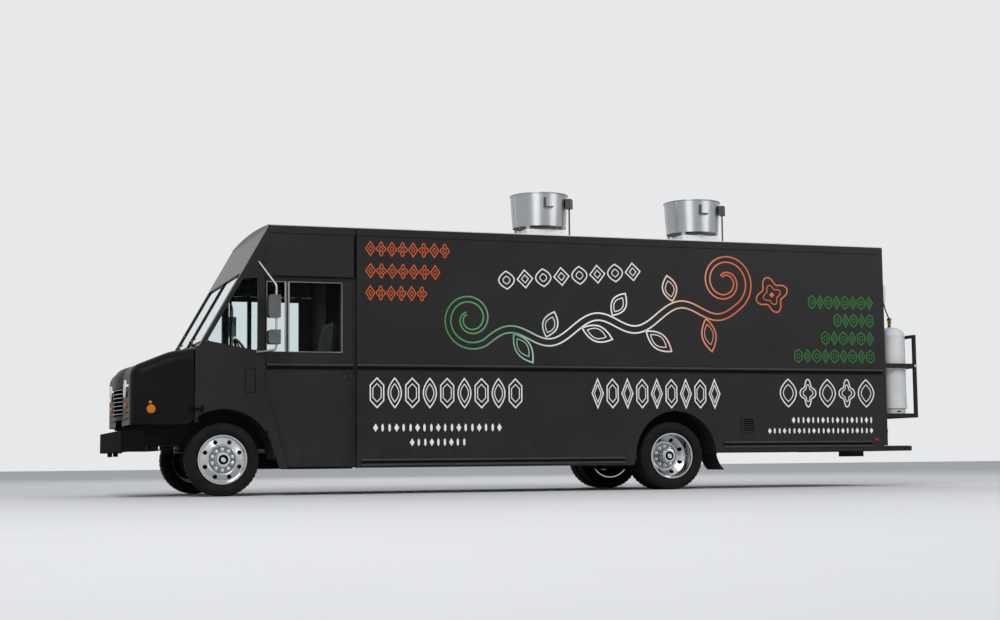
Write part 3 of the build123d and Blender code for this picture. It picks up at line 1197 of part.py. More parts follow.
# Side vent, rear corner box, and the gas hose from the first cylinder up to that box
VENT_X = (6194.0, 6368.0)
VENT_Z = (666.0, 850.0)
VENT_OUT = 14.0
VENT_FRAME = 14.0
with BuildPart() as wall_fittings:
    block(VENT_X, (-HALF_W - VENT_OUT, -HALF_W), VENT_Z)
    block((VENT_X[0] + VENT_FRAME, VENT_X[1] - VENT_FRAME), (-HALF_W - VENT_OUT, -HALF_W - VENT_OUT / 2),
          (VENT_Z[0] + VENT_FRAME, VENT_Z[1] - VENT_FRAME), Mode.SUBTRACT)
save(wall_fittings, "wall_fittings")

REGULATOR_ROOM = (20.0, 90.0)
REGULATOR_RISE = (300.0, 500.0)
REGULATOR_Y = (REGULATOR_ROOM[0] - HALF_W, REGULATOR_ROOM[1] - HALF_W)
REGULATOR_Z = (VALVE_Z + REGULATOR_RISE[0], VALVE_Z + REGULATOR_RISE[1])
REGULATOR_OUT = 42.0
INLET_NUT_R = 11.0
HOSE_R = 8.0
HOSE_RUN = (
    # forward and outward from the valve's middle, and up from its outlet
    (65.0, 113.0, 0.0),
    (135.0, 193.0, 55.0),
    (195.0, 225.0, 135.0),
    (215.0, 227.0, 220.0),
)
HOSE_POINTS = [on_outlet(CYL_Y[0], OUTLET_LONG)]
for forward, outward, upward in HOSE_RUN:
    HOSE_POINTS.append((CYL_X - forward, CYL_Y[0] - outward, OUTLET_Z + upward))
with BuildPart() as gas_regulator:
    block((BOX_REAR, BOX_REAR + REGULATOR_OUT), REGULATOR_Y, REGULATOR_Z)
    fillet(gas_regulator.edges().filter_by(Axis.Z).group_by(Axis.X)[-1], SHEET)
    end = Vector(*HOSE_POINTS[-1])
    inward = (end - Vector(*HOSE_POINTS[-2])).normalized() * (REGULATOR_Z[0] - end.Z + HOSE_R)
    rod(HOSE_POINTS[-1], tuple(end + inward), INLET_NUT_R)
save(gas_regulator, "gas_regulator")

RUN_SHARE = 0.45
hose_path = [Vector(at(p[0]), p[1], p[2]) for p in HOSE_POINTS]
radii = []
for before, here, after in zip(hose_path, hose_path[1:], hose_path[2:]):
    turning = (here - before).get_angle(after - here)
    shorter = min((here - before).length, (after - here).length)
    radii.append(RUN_SHARE * shorter / math.tan(math.radians(turning / 2)))
print("hose radii", [round(value) for value in radii])
with BuildPart() as gas_hose:
    with BuildLine() as route:
        FilletPolyline(*hose_path, radius=radii)
    with BuildSketch(Plane(origin=route.line @ 0, z_dir=route.line % 0)):
        Circle(HOSE_R)
    sweep()
print("hose volume", gas_hose.part.volume / (math.pi * HOSE_R ** 2 * route.wires()[0].length))
save(gas_hose, "gas_hose")

# Mirrors: an upper and a lower head on a bent tube on each side
MIRROR_X = 525.0
MIRROR_OUT = 200.0
MIRROR_Y = HALF_W + MIRROR_OUT
MIRROR_Z = (1568.0, 2273.0)
ARM_R = 12.0
ARM_BEND = 50.0
ARM_FOOT = (355.0, 1557.0)
ARM_HEAD = (372.0, 2545.0)
MIRROR_HEADS = ((1632.0, 1784.0), (1919.0, 2163.0))
HEAD_HALF = 80.0
HEAD_FRONT = 92.0
HEAD_BACK = 34.0
HEAD_ROUND = 22.0
with BuildPart() as mirror_arms:
    for side in SIDES:
        bends = [(ARM_FOOT[0], HALF_W, ARM_FOOT[1]), (MIRROR_X, MIRROR_Y, MIRROR_Z[0]),
                 (MIRROR_X, MIRROR_Y, MIRROR_Z[1]), (ARM_HEAD[0], HALF_W, ARM_HEAD[1])]
        with BuildLine() as bent:
            FilletPolyline(*[(at(x), side * y, z) for x, y, z in bends], radius=ARM_BEND)
        with BuildSketch(Plane(origin=bent.line @ 0, z_dir=bent.line % 0)) as section:
            Circle(ARM_R)
        sweep(section.sketch, path=bent.line)
        x = (ARM_FOOT[0] - 2 * ARM_R, ARM_HEAD[0] + 4 * ARM_R)
        block(x, pair(side, INNER_W, HALF_W), (ARM_FOOT[1] - WALL, ARM_HEAD[1] + WALL), Mode.SUBTRACT)
save(mirror_arms, "mirror_arms")



def mirror_head(side, z):
    """One mirror's head between two heights, bored for its tube."""
    across = pair(side, MIRROR_Y - HEAD_HALF, MIRROR_Y + HEAD_HALF)
    with BuildPart() as head:
        block((MIRROR_X - HEAD_FRONT, MIRROR_X + HEAD_BACK), across, z)
        fillet(head.edges().group_by(Axis.X)[0], HEAD_ROUND)
        rod((MIRROR_X, side * MIRROR_Y, z[0] - SHEET), (MIRROR_X, side * MIRROR_Y, z[1] + SHEET), ARM_R + GAP,
            Mode.SUBTRACT)
    return head.part


heads = [mirror_head(side, z) for side in SIDES for z in MIRROR_HEADS]
with BuildPart() as mirror_heads:
    for head in heads:
        add(head)
save(mirror_heads, "mirror_heads")

# Wipers: each arm runs from its pivot below the shield to the middle of its blade
WIPERS = (
    # pivot Y, blade's middle Y
    (-700.0, -330.0),
    (300.0, 670.0),
)
PIVOT_OUT = 34.0
PIVOT_UP = 19.0
PIVOT_R = 16.0
WIPER_R = 7.0
BLADE_UP = 75.0
BLADE_OUT_BY = 18.0
BLADE_HALF = 230.0
with BuildPart() as wipers:
    for pivot_y, middle_y in WIPERS:
        foot_z = COWL_Z + PIVOT_UP
        foot = (rake_x(foot_z), pivot_y, foot_z)
        cap = (foot[0] - PIVOT_OUT, pivot_y, foot_z + PIVOT_OUT * RAKE_RUN)
        knuckle_at = (foot[0] - PIVOT_OUT / 2, pivot_y, foot_z + PIVOT_OUT / 2 * RAKE_RUN)
        blade_z = SHIELD_LOW + BLADE_UP
        blade_x = rake_x(blade_z) - BLADE_OUT_BY
        rod(cap, foot, PIVOT_R)
        rod(knuckle_at, (blade_x, middle_y, blade_z), WIPER_R)
        rod((blade_x, middle_y - BLADE_HALF, blade_z), (blade_x, middle_y + BLADE_HALF, blade_z), WIPER_R)
save(wipers, "wipers")

# Lamps at the back and on the rear sides
TAIL_ROOM = 90.0
TAIL_Z = 680.0
TAIL_PROFILE = ((0.0, 0.0), (0.0, 56.0), (12.0, 56.0), (24.0, 48.0), (30.0, 0.0))
MARKER_X = (8006.0, 8066.0)
MARKER_Z = (558.0, 588.0)
with BuildPart() as red_lamps:
    for side in SIDES:
        turn(TAIL_PROFILE, (at(BOX_REAR), side * (HALF_W - TAIL_ROOM), TAIL_Z), (1, 0, 0))
        block(MARKER_X, pair(side, HALF_W, HALF_W + SHEET), MARKER_Z)
save(red_lamps, "red_lamps")

# Steering knuckles
SPINDLE_R = 40.0
KINGPIN_Z = (300.0, 500.0)
DISC_R = 150.0
DISC_IN = 45.0
RIM_HUB = 20.0
for label, side in (("knuckle_left", -1), ("knuckle_right", 1)):
    with BuildPart() as knuckle:
        barrel(0, TYRE_R, SPINDLE_R, pair(side, KINGPIN_Y, FRONT_TRACK + RIM_HUB - GAP))
        rod((0, side * KINGPIN_Y, KINGPIN_Z[0]), (0, side * KINGPIN_Y, KINGPIN_Z[1]), KINGPIN_R)
        barrel(0, TYRE_R, DISC_R, pair(side, KINGPIN_Y + DISC_IN, FRONT_TRACK + CLEAR))
    save(knuckle, label)

# Wheels: profiles as (along the axle outwards, radius)
LIP = RIM_R + 8.0
BEAD = RIM_R - GAP
FRONT_RIM = ((95, LIP), (95, 252), (62, 240), (62, 225), (78, 170), (78, 75), (135, 72), (140, 60), (140, 0),
             (20, 0), (20, 75), (58, 78), (58, 165), (42, 222), (42, 243), (-80, 243), (-95, 252), (-95, LIP),
             (-83, LIP), (-78, BEAD), (78, BEAD), (83, LIP))
REAR_RIM = ((95, LIP), (95, 252), (80, 243), (-60, 243), (-118, 165), (-118, 85), (10, 80), (15, 60), (15, 0),
            (-140, 0), (-140, 165), (-82, 250), (-95, 252), (-95, LIP), (-83, LIP), (-78, BEAD), (78, BEAD),
            (83, LIP))
TYRE = ((-76, RIM_R), (-76, 270), (-100, 288), (-112, 325), (-110, 360), (-98, 388), (-80, TYRE_R),
        (80, TYRE_R), (98, 388), (110, 360), (112, 325), (100, 288), (76, 270), (76, RIM_R))
HAND_HOLES = 8
HAND_R = 24.0
HAND_RING = 200.0
HOLE_REACH = 200.0
INNER_FACE = -118
WHEELS = (
    # name, place, side, tracks
    ("front_left", 0.0, -1, (FRONT_TRACK,)),
    ("front_right", 0.0, 1, (FRONT_TRACK,)),
    ("rear_left", WHEELBASE, -1, (DUAL_TRACK + DUAL_OFFSET, DUAL_TRACK - DUAL_OFFSET)),
    ("rear_right", WHEELBASE, 1, (DUAL_TRACK + DUAL_OFFSET, DUAL_TRACK - DUAL_OFFSET)),
)
for name, x, side, tracks in WHEELS:
    with BuildPart() as rim:
        for index, track in enumerate(tracks):
            facing = -side if index == 1 else side
            profile = FRONT_RIM if len(tracks) == 1 else REAR_RIM
            if index == 1:
                profile = [(min(along, INNER_FACE), radius) if radius < DISC_R else (along, radius)
                           for along, radius in profile]
            turn(profile, (at(x), side * track, TYRE_R), (0, facing, 0))
        hole_y = pair(side, tracks[0] - HOLE_REACH * len(tracks), tracks[0] + HOLE_REACH / 2)
        for hole in range(HAND_HOLES):
            angle = math.radians((hole + 0.5) * 360 / HAND_HOLES)
            place = (x + HAND_RING * math.cos(angle), TYRE_R + HAND_RING * math.sin(angle))
            barrel(place[0], place[1], HAND_R, hole_y, Mode.SUBTRACT)
    save(rim, "rim_" + name)
    with BuildPart() as tyre:
        for track in tracks:
            turn(TYRE, (at(x), side * track, TYRE_R), (0, side, 0))
    save(tyre, "tyre_" + name)
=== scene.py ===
import json
from math import atan2, cos, exp, pi, radians, sin, sqrt
import bmesh
import bpy
from mathutils import Matrix, Vector


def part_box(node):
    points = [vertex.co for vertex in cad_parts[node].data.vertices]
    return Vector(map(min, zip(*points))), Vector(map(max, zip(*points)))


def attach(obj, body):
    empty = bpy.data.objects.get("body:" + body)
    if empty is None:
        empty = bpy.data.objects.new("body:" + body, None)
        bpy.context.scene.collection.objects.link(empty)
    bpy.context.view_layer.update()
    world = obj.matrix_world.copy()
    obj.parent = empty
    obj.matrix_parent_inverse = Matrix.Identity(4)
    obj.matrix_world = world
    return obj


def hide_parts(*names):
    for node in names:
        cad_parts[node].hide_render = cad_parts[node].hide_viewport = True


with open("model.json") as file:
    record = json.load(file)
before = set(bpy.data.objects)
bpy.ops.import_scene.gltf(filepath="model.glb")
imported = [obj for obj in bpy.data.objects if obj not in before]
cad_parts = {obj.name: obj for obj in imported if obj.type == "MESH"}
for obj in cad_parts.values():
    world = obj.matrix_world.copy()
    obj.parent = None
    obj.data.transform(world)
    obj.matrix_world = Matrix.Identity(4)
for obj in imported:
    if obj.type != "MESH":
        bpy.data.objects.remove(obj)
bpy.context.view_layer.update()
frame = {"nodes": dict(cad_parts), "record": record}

# Reference places, read from the frame
AXLE_LOW, AXLE_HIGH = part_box("tyre_front_left")
AXLE = (AXLE_LOW + AXLE_HIGH) / 2
TYRE_R = (AXLE_HIGH.z - AXLE_LOW.z) / 2
TYRE_HALF = (AXLE_HIGH.y - AXLE_LOW.y) / 2
REAR_LOW, REAR_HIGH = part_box("tyre_rear_left")
REAR_AXLE_X = (REAR_LOW.x + REAR_HIGH.x) / 2
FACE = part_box("rear_wall")[1].y
SIDES = {-1: "left", 1: "right"}
DOOR_BODIES = {-1: "driver_door", 1: "passenger_door"}


def at(x):
    """An X behind the front axle, in metres, in the frame."""
    return AXLE.x + x


def spaced(low, high, steps):
    """Even places from low to high."""
    return [low + (high - low) * step / steps for step in range(steps + 1)]


def turns(count, start=0):
    """Even angles round a circle."""
    return [2 * pi * (step + start) / count for step in range(count)]


def linked(name, data):
    """A new object in the scene."""
    obj = bpy.data.objects.new(name, data)
    bpy.context.scene.collection.objects.link(obj)
    return obj


# Camera, at the photograph's viewing place
CAMERA_PLACE = (-6.7102, -18.869, 0.3366)
CAMERA_YAW = radians(18.9396)
CAMERA_PITCH = radians(5.3128)
CAMERA_ROLL = radians(-0.5659)
FOCAL_PIXELS = 1639.42
IMAGE_WIDTH = 1000
SENSOR = 36
FAR_END = 400

# Level, turned right by the yaw, up by the pitch, then rolled
data = bpy.data.cameras.new("camera")
data.sensor_width = SENSOR
data.lens = FOCAL_PIXELS / IMAGE_WIDTH * SENSOR
data.clip_end = FAR_END
camera = linked("camera", data)
level = Matrix.Rotation(-CAMERA_YAW, 4, "Z") @ Matrix.Rotation(pi / 2 + CAMERA_PITCH, 4, "X")
camera.matrix_world = Matrix.Translation(CAMERA_PLACE) @ level @ Matrix.Rotation(CAMERA_ROLL, 4, "Z")
bpy.context.scene.camera = camera


# Materials
class Nodes:
    """The nodes of a material or a world."""

    def __init__(self, owner):
        owner.use_nodes = True
        self.owner, self.tree = owner, owner.node_tree

    def fill(self, node, inputs):
        """Sets a node's inputs: a socket is linked, anything else is its value."""
        for key, value in inputs.items():
            if isinstance(value, bpy.types.NodeSocket):
                self.tree.links.new(value, node.inputs[key])
            else:
                node.inputs[key].default_value = value

    def node(self, kind, inputs, **settings):
        """A new shader node, with its settings made before its inputs."""
        node = self.tree.nodes.new("ShaderNode" + kind)
        for key, value in settings.items():
            setattr(node, key, value)
        self.fill(node, inputs)
        return node

    def worked(self, operation, *values):
        """One step of arithmetic."""
        return self.node("Math", dict(enumerate(values)), operation=operation).outputs["Value"]


class Finish(Nodes):
    """The nodes of a new material, on its object coordinates."""

    def __init__(self, name):
        super().__init__(bpy.data.materials.new(name))
        self.place = self.node("TexCoord", {}).outputs["Object"]

    def shade(self, inputs):
        """Sets the shader's inputs and gives the material."""
        self.fill(self.tree.nodes["Principled BSDF"], inputs)
        return self.owner

    def noise(self, scale, detail=4, stretch=None):
        """A noise texture's value, on coordinates that may be stretched."""
        place = self.place
        if stretch is not None:
            place = self.node("Mapping", {"Scale": stretch, "Vector": place}).outputs["Vector"]
        return self.node("TexNoise", {"Scale": scale, "Detail": detail, "Vector": place}).outputs["Fac"]

    def spread(self, value, low, high, start=0.3, end=0.7):
        """Maps a value between start and end onto low to high."""
        limits = {"From Min": start, "From Max": end, "To Min": low, "To Max": high}
        return self.node("MapRange", {**limits, "Value": value}).outputs["Result"]

    def uneven(self, scale, low=0, high=1, detail=4):
        """A noise spread between two values."""
        return self.spread(self.noise(scale, detail), low, high)

    def mixed(self, factor, first, second, kind="RGBA"):
        """A mix of two colours or values, by a factor."""
        return self.node("Mix", {"Factor": factor, "A": first, "B": second}, data_type=kind).outputs["Result"]

    def two_tone(self, factor, first, second):
        """A colour between two, by a factor."""
        return self.mixed(factor, (*first, 1), (*second, 1))

    def bump(self, height, strength, distance=0.001):
        """The normal over a height."""
        return self.node("Bump", {"Strength": strength, "Distance": distance, "Height": height}).outputs["Normal"]

    def part(self, vector, axis):
        """One part of a vector."""
        return self.node("SeparateXYZ", {"Vector": vector}).outputs[axis]

    def where(self, source, axis, test, *limits):
        """1 where the place or the normal passes a test along an axis, 0 elsewhere."""
        vector = self.place if source == "place" else self.node("NewGeometry", {}).outputs["Normal"]
        return self.worked(test, self.part(vector, axis), *limits)


def surface(name, dark, light, rough, scale=6, metal=0, grain=0, specular=0.5, grain_scale=220):
    """A finish with slow colour variation, uneven roughness and a fine grain."""
    nodes = Finish(name)
    grained = {"Normal": nodes.bump(nodes.noise(grain_scale, 3), grain)} if grain else {}
    return nodes.shade({"Base Color": nodes.two_tone(nodes.uneven(scale), dark, light),
                        "Roughness": nodes.uneven(scale * 7, *rough, 6), "Metallic": metal,
                        "Specular IOR Level": specular, "IOR": USUAL_IOR, **grained})


def body_paint(name, dark, light, rough, specular, dust_amount):
    """Paint with a little road dust that gathers towards the bottom of the body."""
    nodes = Finish(name)
    height = nodes.spread(nodes.part(nodes.place, "Z"), dust_amount, 0, *DUST_HEIGHT)
    streaks = nodes.spread(nodes.noise(9, 7, (1, 1, 0.35)), 0, 1, 0.35, 0.75)
    clean = nodes.two_tone(nodes.uneven(1.6, detail=5), dark, light)
    return nodes.shade({"Base Color": nodes.mixed(nodes.worked("MULTIPLY", height, streaks), clean, (*DUST, 1)),
                        "Roughness": nodes.uneven(24, *rough, 6), "Specular IOR Level": specular,
                        "Normal": nodes.bump(nodes.noise(60, 2), 0.01)})


def glass(name, tint, raked=False):
    """Clear pane with a film of dust; a raked windscreen shows the sky at a flat angle."""
    nodes = Finish(name)
    metal = 0
    if raked:
        gloss = nodes.node("Fresnel", {"IOR": USUAL_IOR}).outputs["Fac"]
        metal = nodes.worked("MULTIPLY", nodes.where("normal", "X", "LESS_THAN", -0.5), gloss)
    return nodes.shade({"Base Color": nodes.two_tone(nodes.uneven(14, 0, 0.12, 6), tint, (0.8, 0.82, 0.8)),
                        "Roughness": 0, "Transmission Weight": 1, "IOR": PANE_IOR, "Metallic": metal})


def lens(name, colour):
    """Moulded lamp lens with fine prisms."""
    nodes = Finish(name)
    cells = nodes.node("TexVoronoi", {"Scale": 160, "Vector": nodes.place}).outputs["Distance"]
    return nodes.shade({"Base Color": nodes.two_tone(cells, colour, tuple(c * 0.6 for c in colour)),
                        "Roughness": 0.12, "Transmission Weight": 0.25, "Specular IOR Level": 0.3,
                        "Normal": nodes.bump(cells, 0.25, 0.002)})


def graphic(name, stops, x_left, x_right):
    """Printed vinyl whose colour runs along the body through (share, colour) stops."""
    nodes = Finish(name)
    ramp = nodes.node("ValToRGB", {"Fac": nodes.spread(nodes.part(nodes.place, "X"), 0, 1, x_left, x_right)})
    elements = ramp.color_ramp.elements
    for element, (share, colour) in zip(elements, (stops[0], stops[-1])):
        element.position, element.color = share, (*colour, 1)
    for share, colour in stops[1:-1]:
        elements.new(share).color = (*colour, 1)
    return nodes.shade({"Base Color": ramp.outputs["Color"], "Roughness": nodes.uneven(30, 0.32, 0.5),
                        "Normal": nodes.bump(nodes.noise(400), 0.05)})


def two_finishes(name, first, second, spot, scale=6, rolled=0):
    """A second finish at a spot and a first elsewhere, as (dark, light, rough, metal)."""
    nodes = Finish(name)
    factor, patches, fine = nodes.where(*spot), nodes.uneven(scale), nodes.noise(scale * 8, 6)
    colours = [nodes.two_tone(patches, *finish[:2]) for finish in (first, second)]
    roughs = [nodes.spread(fine, *finish[2]) for finish in (first, second)]
    inputs = {"Base Color": nodes.mixed(factor, *colours), "Roughness": nodes.mixed(factor, *roughs, "FLOAT"),
              "Metallic": nodes.spread(factor, first[3], second[3], 0, 1), "Specular IOR Level": 0.25,
              "Normal": nodes.bump(nodes.noise(160), 0.05)}
    if rolled:  # the gloss of a rolled sheet is drawn out upwards
        inputs |= {"Anisotropic": rolled, "Tangent": nodes.node("CombineXYZ", {"Z": 1}).outputs["Vector"]}
    return nodes.shade(inputs)


def grey(level):
    return (level, level, level)


USUAL_IOR = 1.5
PANE_IOR = 1.1
BLACKS = ((0.0112, 0.0112, 0.0106), (0.0152, 0.0152, 0.0144))
DUST = (0.1, 0.092, 0.08)
DUST_HEIGHT = (0.3, 0.9)
SURFACES = {
    # dark and light colour, roughness, scale of the patches, metal, grain, specular level, scale of the grain
    "white_paint": ((0.58, 0.58, 0.57), (0.66, 0.66, 0.65), (0.55, 0.72), 2, 0, 0.03, 0.18),
    "tank_white": ((0.52, 0.53, 0.53), (0.62, 0.63, 0.63), (0.34, 0.5), 5, 0, 0.06),
    "chassis_black": (grey(0.006), (0.014, 0.013, 0.012), (0.5, 0.75), 9, 0, 0.2, 0.2),
    "cast_iron": ((0.03, 0.028, 0.026), (0.07, 0.06, 0.05), (0.6, 0.85), 14, 0.6, 0.5),
    "tyre_rubber": ((0.0055, 0.0055, 0.0054), (0.0105, 0.0105, 0.01), (0.66, 0.88), 12, 0, 0.25, 0.13),
    "hose_rubber": (grey(0.007), grey(0.013), (0.5, 0.7), 30, 0, 0.15, 0.2),
    "polished_aluminium": ((0.5, 0.51, 0.52), (0.58, 0.59, 0.6), (0.11, 0.17), 1.5, 1, 0.02, 0.5, 60),
    "plain_aluminium": ((0.42, 0.43, 0.44), (0.54, 0.55, 0.56), (0.34, 0.5), 6, 1, 0.08),
    "chrome": ((0.7, 0.71, 0.72), (0.78, 0.79, 0.8), (0.05, 0.1), 6, 1),
    "steel": (grey(0.38), grey(0.5), (0.28, 0.42), 10, 1, 0.05),
    "brass": ((0.16, 0.08, 0.035), (0.32, 0.17, 0.07), (0.3, 0.5), 20, 1, 0.1),
    "black_plastic": (grey(0.008), grey(0.014), (0.45, 0.6), 20, 0, 0.25, 0.3, 900),
    "grey_plastic": (grey(0.04), (0.055, 0.055, 0.054), (0.5, 0.65), 10, 0, 0.3, 0.5, 700),
    "seat_fabric": ((0.02, 0.02, 0.023), (0.045, 0.045, 0.05), (0.8, 0.95), 90, 0, 0.5, 0.5, 500),
    # near black: painted shade on dark sheets under the rails, in the cab seam, in the cover groove and behind the
    # wheels' holes; also the black of the hood straps and vent slats
    "black_and_painted_shade": (grey(0.002), grey(0.0035), (0.7, 0.9), 20, 0, 0.1, 0.05),
    # painted highlight: a lighter grey for the rails' faces, standing in for the sky's reflection on them
    "rail_highlight": (grey(0.03), (0.045, 0.045, 0.044), (0.3, 0.42), 12, 0, 0, 0.3),
    "yellow_cap": ((0.75, 0.5, 0.02), (0.85, 0.6, 0.04), (0.35, 0.5), 20, 0, 0.05),
    "window_trim": ((0.26, 0.27, 0.275), (0.36, 0.37, 0.375), (0.25, 0.35), 20, 1, 0.04),
    "nut_zone": ((0.16, 0.165, 0.17), (0.24, 0.245, 0.25), (0.2, 0.3), 30, 1, 0.05),
    # near black, painted shade: the cab partition is darkened to stand in for the shade inside the cab
    "partition_black_shade": (grey(0.006), grey(0.01), (0.6, 0.8), 8, 0, 0.1, 0.15),
    "mirror_shell": ((0.1, 0.105, 0.11), (0.15, 0.155, 0.16), (0.16, 0.24), 8, 0.8),
}
PAINTS = {
    # dark and light colour, roughness, specular level, dust
    "black_paint": (*BLACKS, (0.42, 0.52), 0.17, 0.1),
    "gloss_black": ((0.006, 0.006, 0.0065), (0.009, 0.009, 0.0095), (0.34, 0.42), 0.05, 0.04),
    "dull_black": ((0.005, 0.005, 0.0055), (0.008, 0.008, 0.0085), (0.66, 0.78), 0.01, 0.03),
    "header_black": (*BLACKS, (0.26, 0.32), 0.16, 0),
}
LENSES = {"amber_lens": (0.85, 0.24, 0.01), "red_lens": (0.5, 0.012, 0.01), "pale_lens": (0.85, 0.86, 0.88)}
MATERIALS = {
    **{name: surface(name, *finish) for name, finish in SURFACES.items()},
    **{name: body_paint(name, *finish) for name, finish in PAINTS.items()},
    **{name: lens(name, colour) for name, colour in LENSES.items()},
    "clear_glass": glass("clear_glass", (0.86, 0.93, 0.92)),
}

# Finishes of nodes that show two, and of those that differ from their slot
UNDERCOAT = (grey(0.008), (0.016, 0.015, 0.014), (0.7, 0.9), 0)
TREAD_PLATE = ((0.4, 0.41, 0.42), (0.52, 0.53, 0.54), (0.35, 0.5), 1)
CURB_WHITE = ((0.7, 0.7, 0.69), (0.8, 0.8, 0.79), (0.35, 0.5), 0)
ROOF_WHITE = (*SURFACES["white_paint"][:3], 0)
EDGE_BLACK = (*BLACKS, (0.3, 0.36), 0)
SPUN_BAND = ((0.44, 0.45, 0.46), (0.5, 0.51, 0.52), (0.38, 0.42), 1)
SASH_METAL = (*SURFACES["plain_aluminium"][:3], 1)
SASH_PANE = ((0.012, 0.014, 0.014), (0.02, 0.023, 0.023), (0.03, 0.06), 0)
WINDOW_LOW, WINDOW_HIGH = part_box("serving_window")
CAP_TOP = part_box("fan_housings")[0].z + 0.11
PANE_PLANE = ("place", "Y", "COMPARE", (WINDOW_LOW.y + WINDOW_HIGH.y) / 2, 0.0035)
ROOF_FRONT = ("place", "X", "COMPARE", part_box("roof")[0].x, 0.002)
ABOVE_CAP = ("place", "Z", "GREATER_THAN", CAP_TOP + 0.0005)
FACING_UP = ("normal", "Z", "GREATER_THAN", 0.5)
OWN_FINISH = {
    "floor_pan": two_finishes("floor_finish", UNDERCOAT, TREAD_PLATE, FACING_UP),
    "fan_housings": two_finishes("fan_finish", CURB_WHITE, SPUN_BAND, ABOVE_CAP, rolled=0.85),
    "grille": MATERIALS["dull_black"],
    "front_bumper": MATERIALS["dull_black"],
    "cab_front": MATERIALS["header_black"],
    "cab_glass": glass("cab_panes", (0.86, 0.92, 0.94), raked=True),
    "roof": two_finishes("roof_finish", ROOF_WHITE, EDGE_BLACK, ROOF_FRONT, 2),
    "serving_window": two_finishes("window_finish", SASH_METAL, SASH_PANE, PANE_PLANE),
    # the partition's near-black finish is painted shade of the cab's inside
    "cab_partition": MATERIALS["partition_black_shade"],
    "mirror_heads": MATERIALS["mirror_shell"],
}
for entry in frame["record"]["subparts"]:
    holder = frame["nodes"][entry["node"]]
    holder.data.materials.clear()
    holder.data.materials.append(OWN_FINISH.get(entry["node"], MATERIALS[entry["material_slot"]]))


# Mesh building
SHARP = radians(38)
BEVEL_SEGMENTS = 2
LEAST_MITRE = 0.35
VINYL_Y = (-FACE, -FACE - 0.001)
BOX_FACES = [(0, 1, 3, 2), (4, 6, 7, 5), (0, 4, 5, 1), (2, 3, 7, 6), (0, 2, 6, 4), (1, 5, 7, 3)]


def placed(name, data, slot, body, finish=None):
    """An object of a slot that rides on a body; its finish may differ from the slot's."""
    obj = linked(name, data)
    data.materials.append(MATERIALS[finish or slot])
    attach(obj, body)
    return obj


def spokes_about(along, across, sides):
    """Unit vectors round an axis, the first of them across it."""
    other = along.cross(across)
    return [across * cos(turn) + other * sin(turn) for turn in turns(sides)]


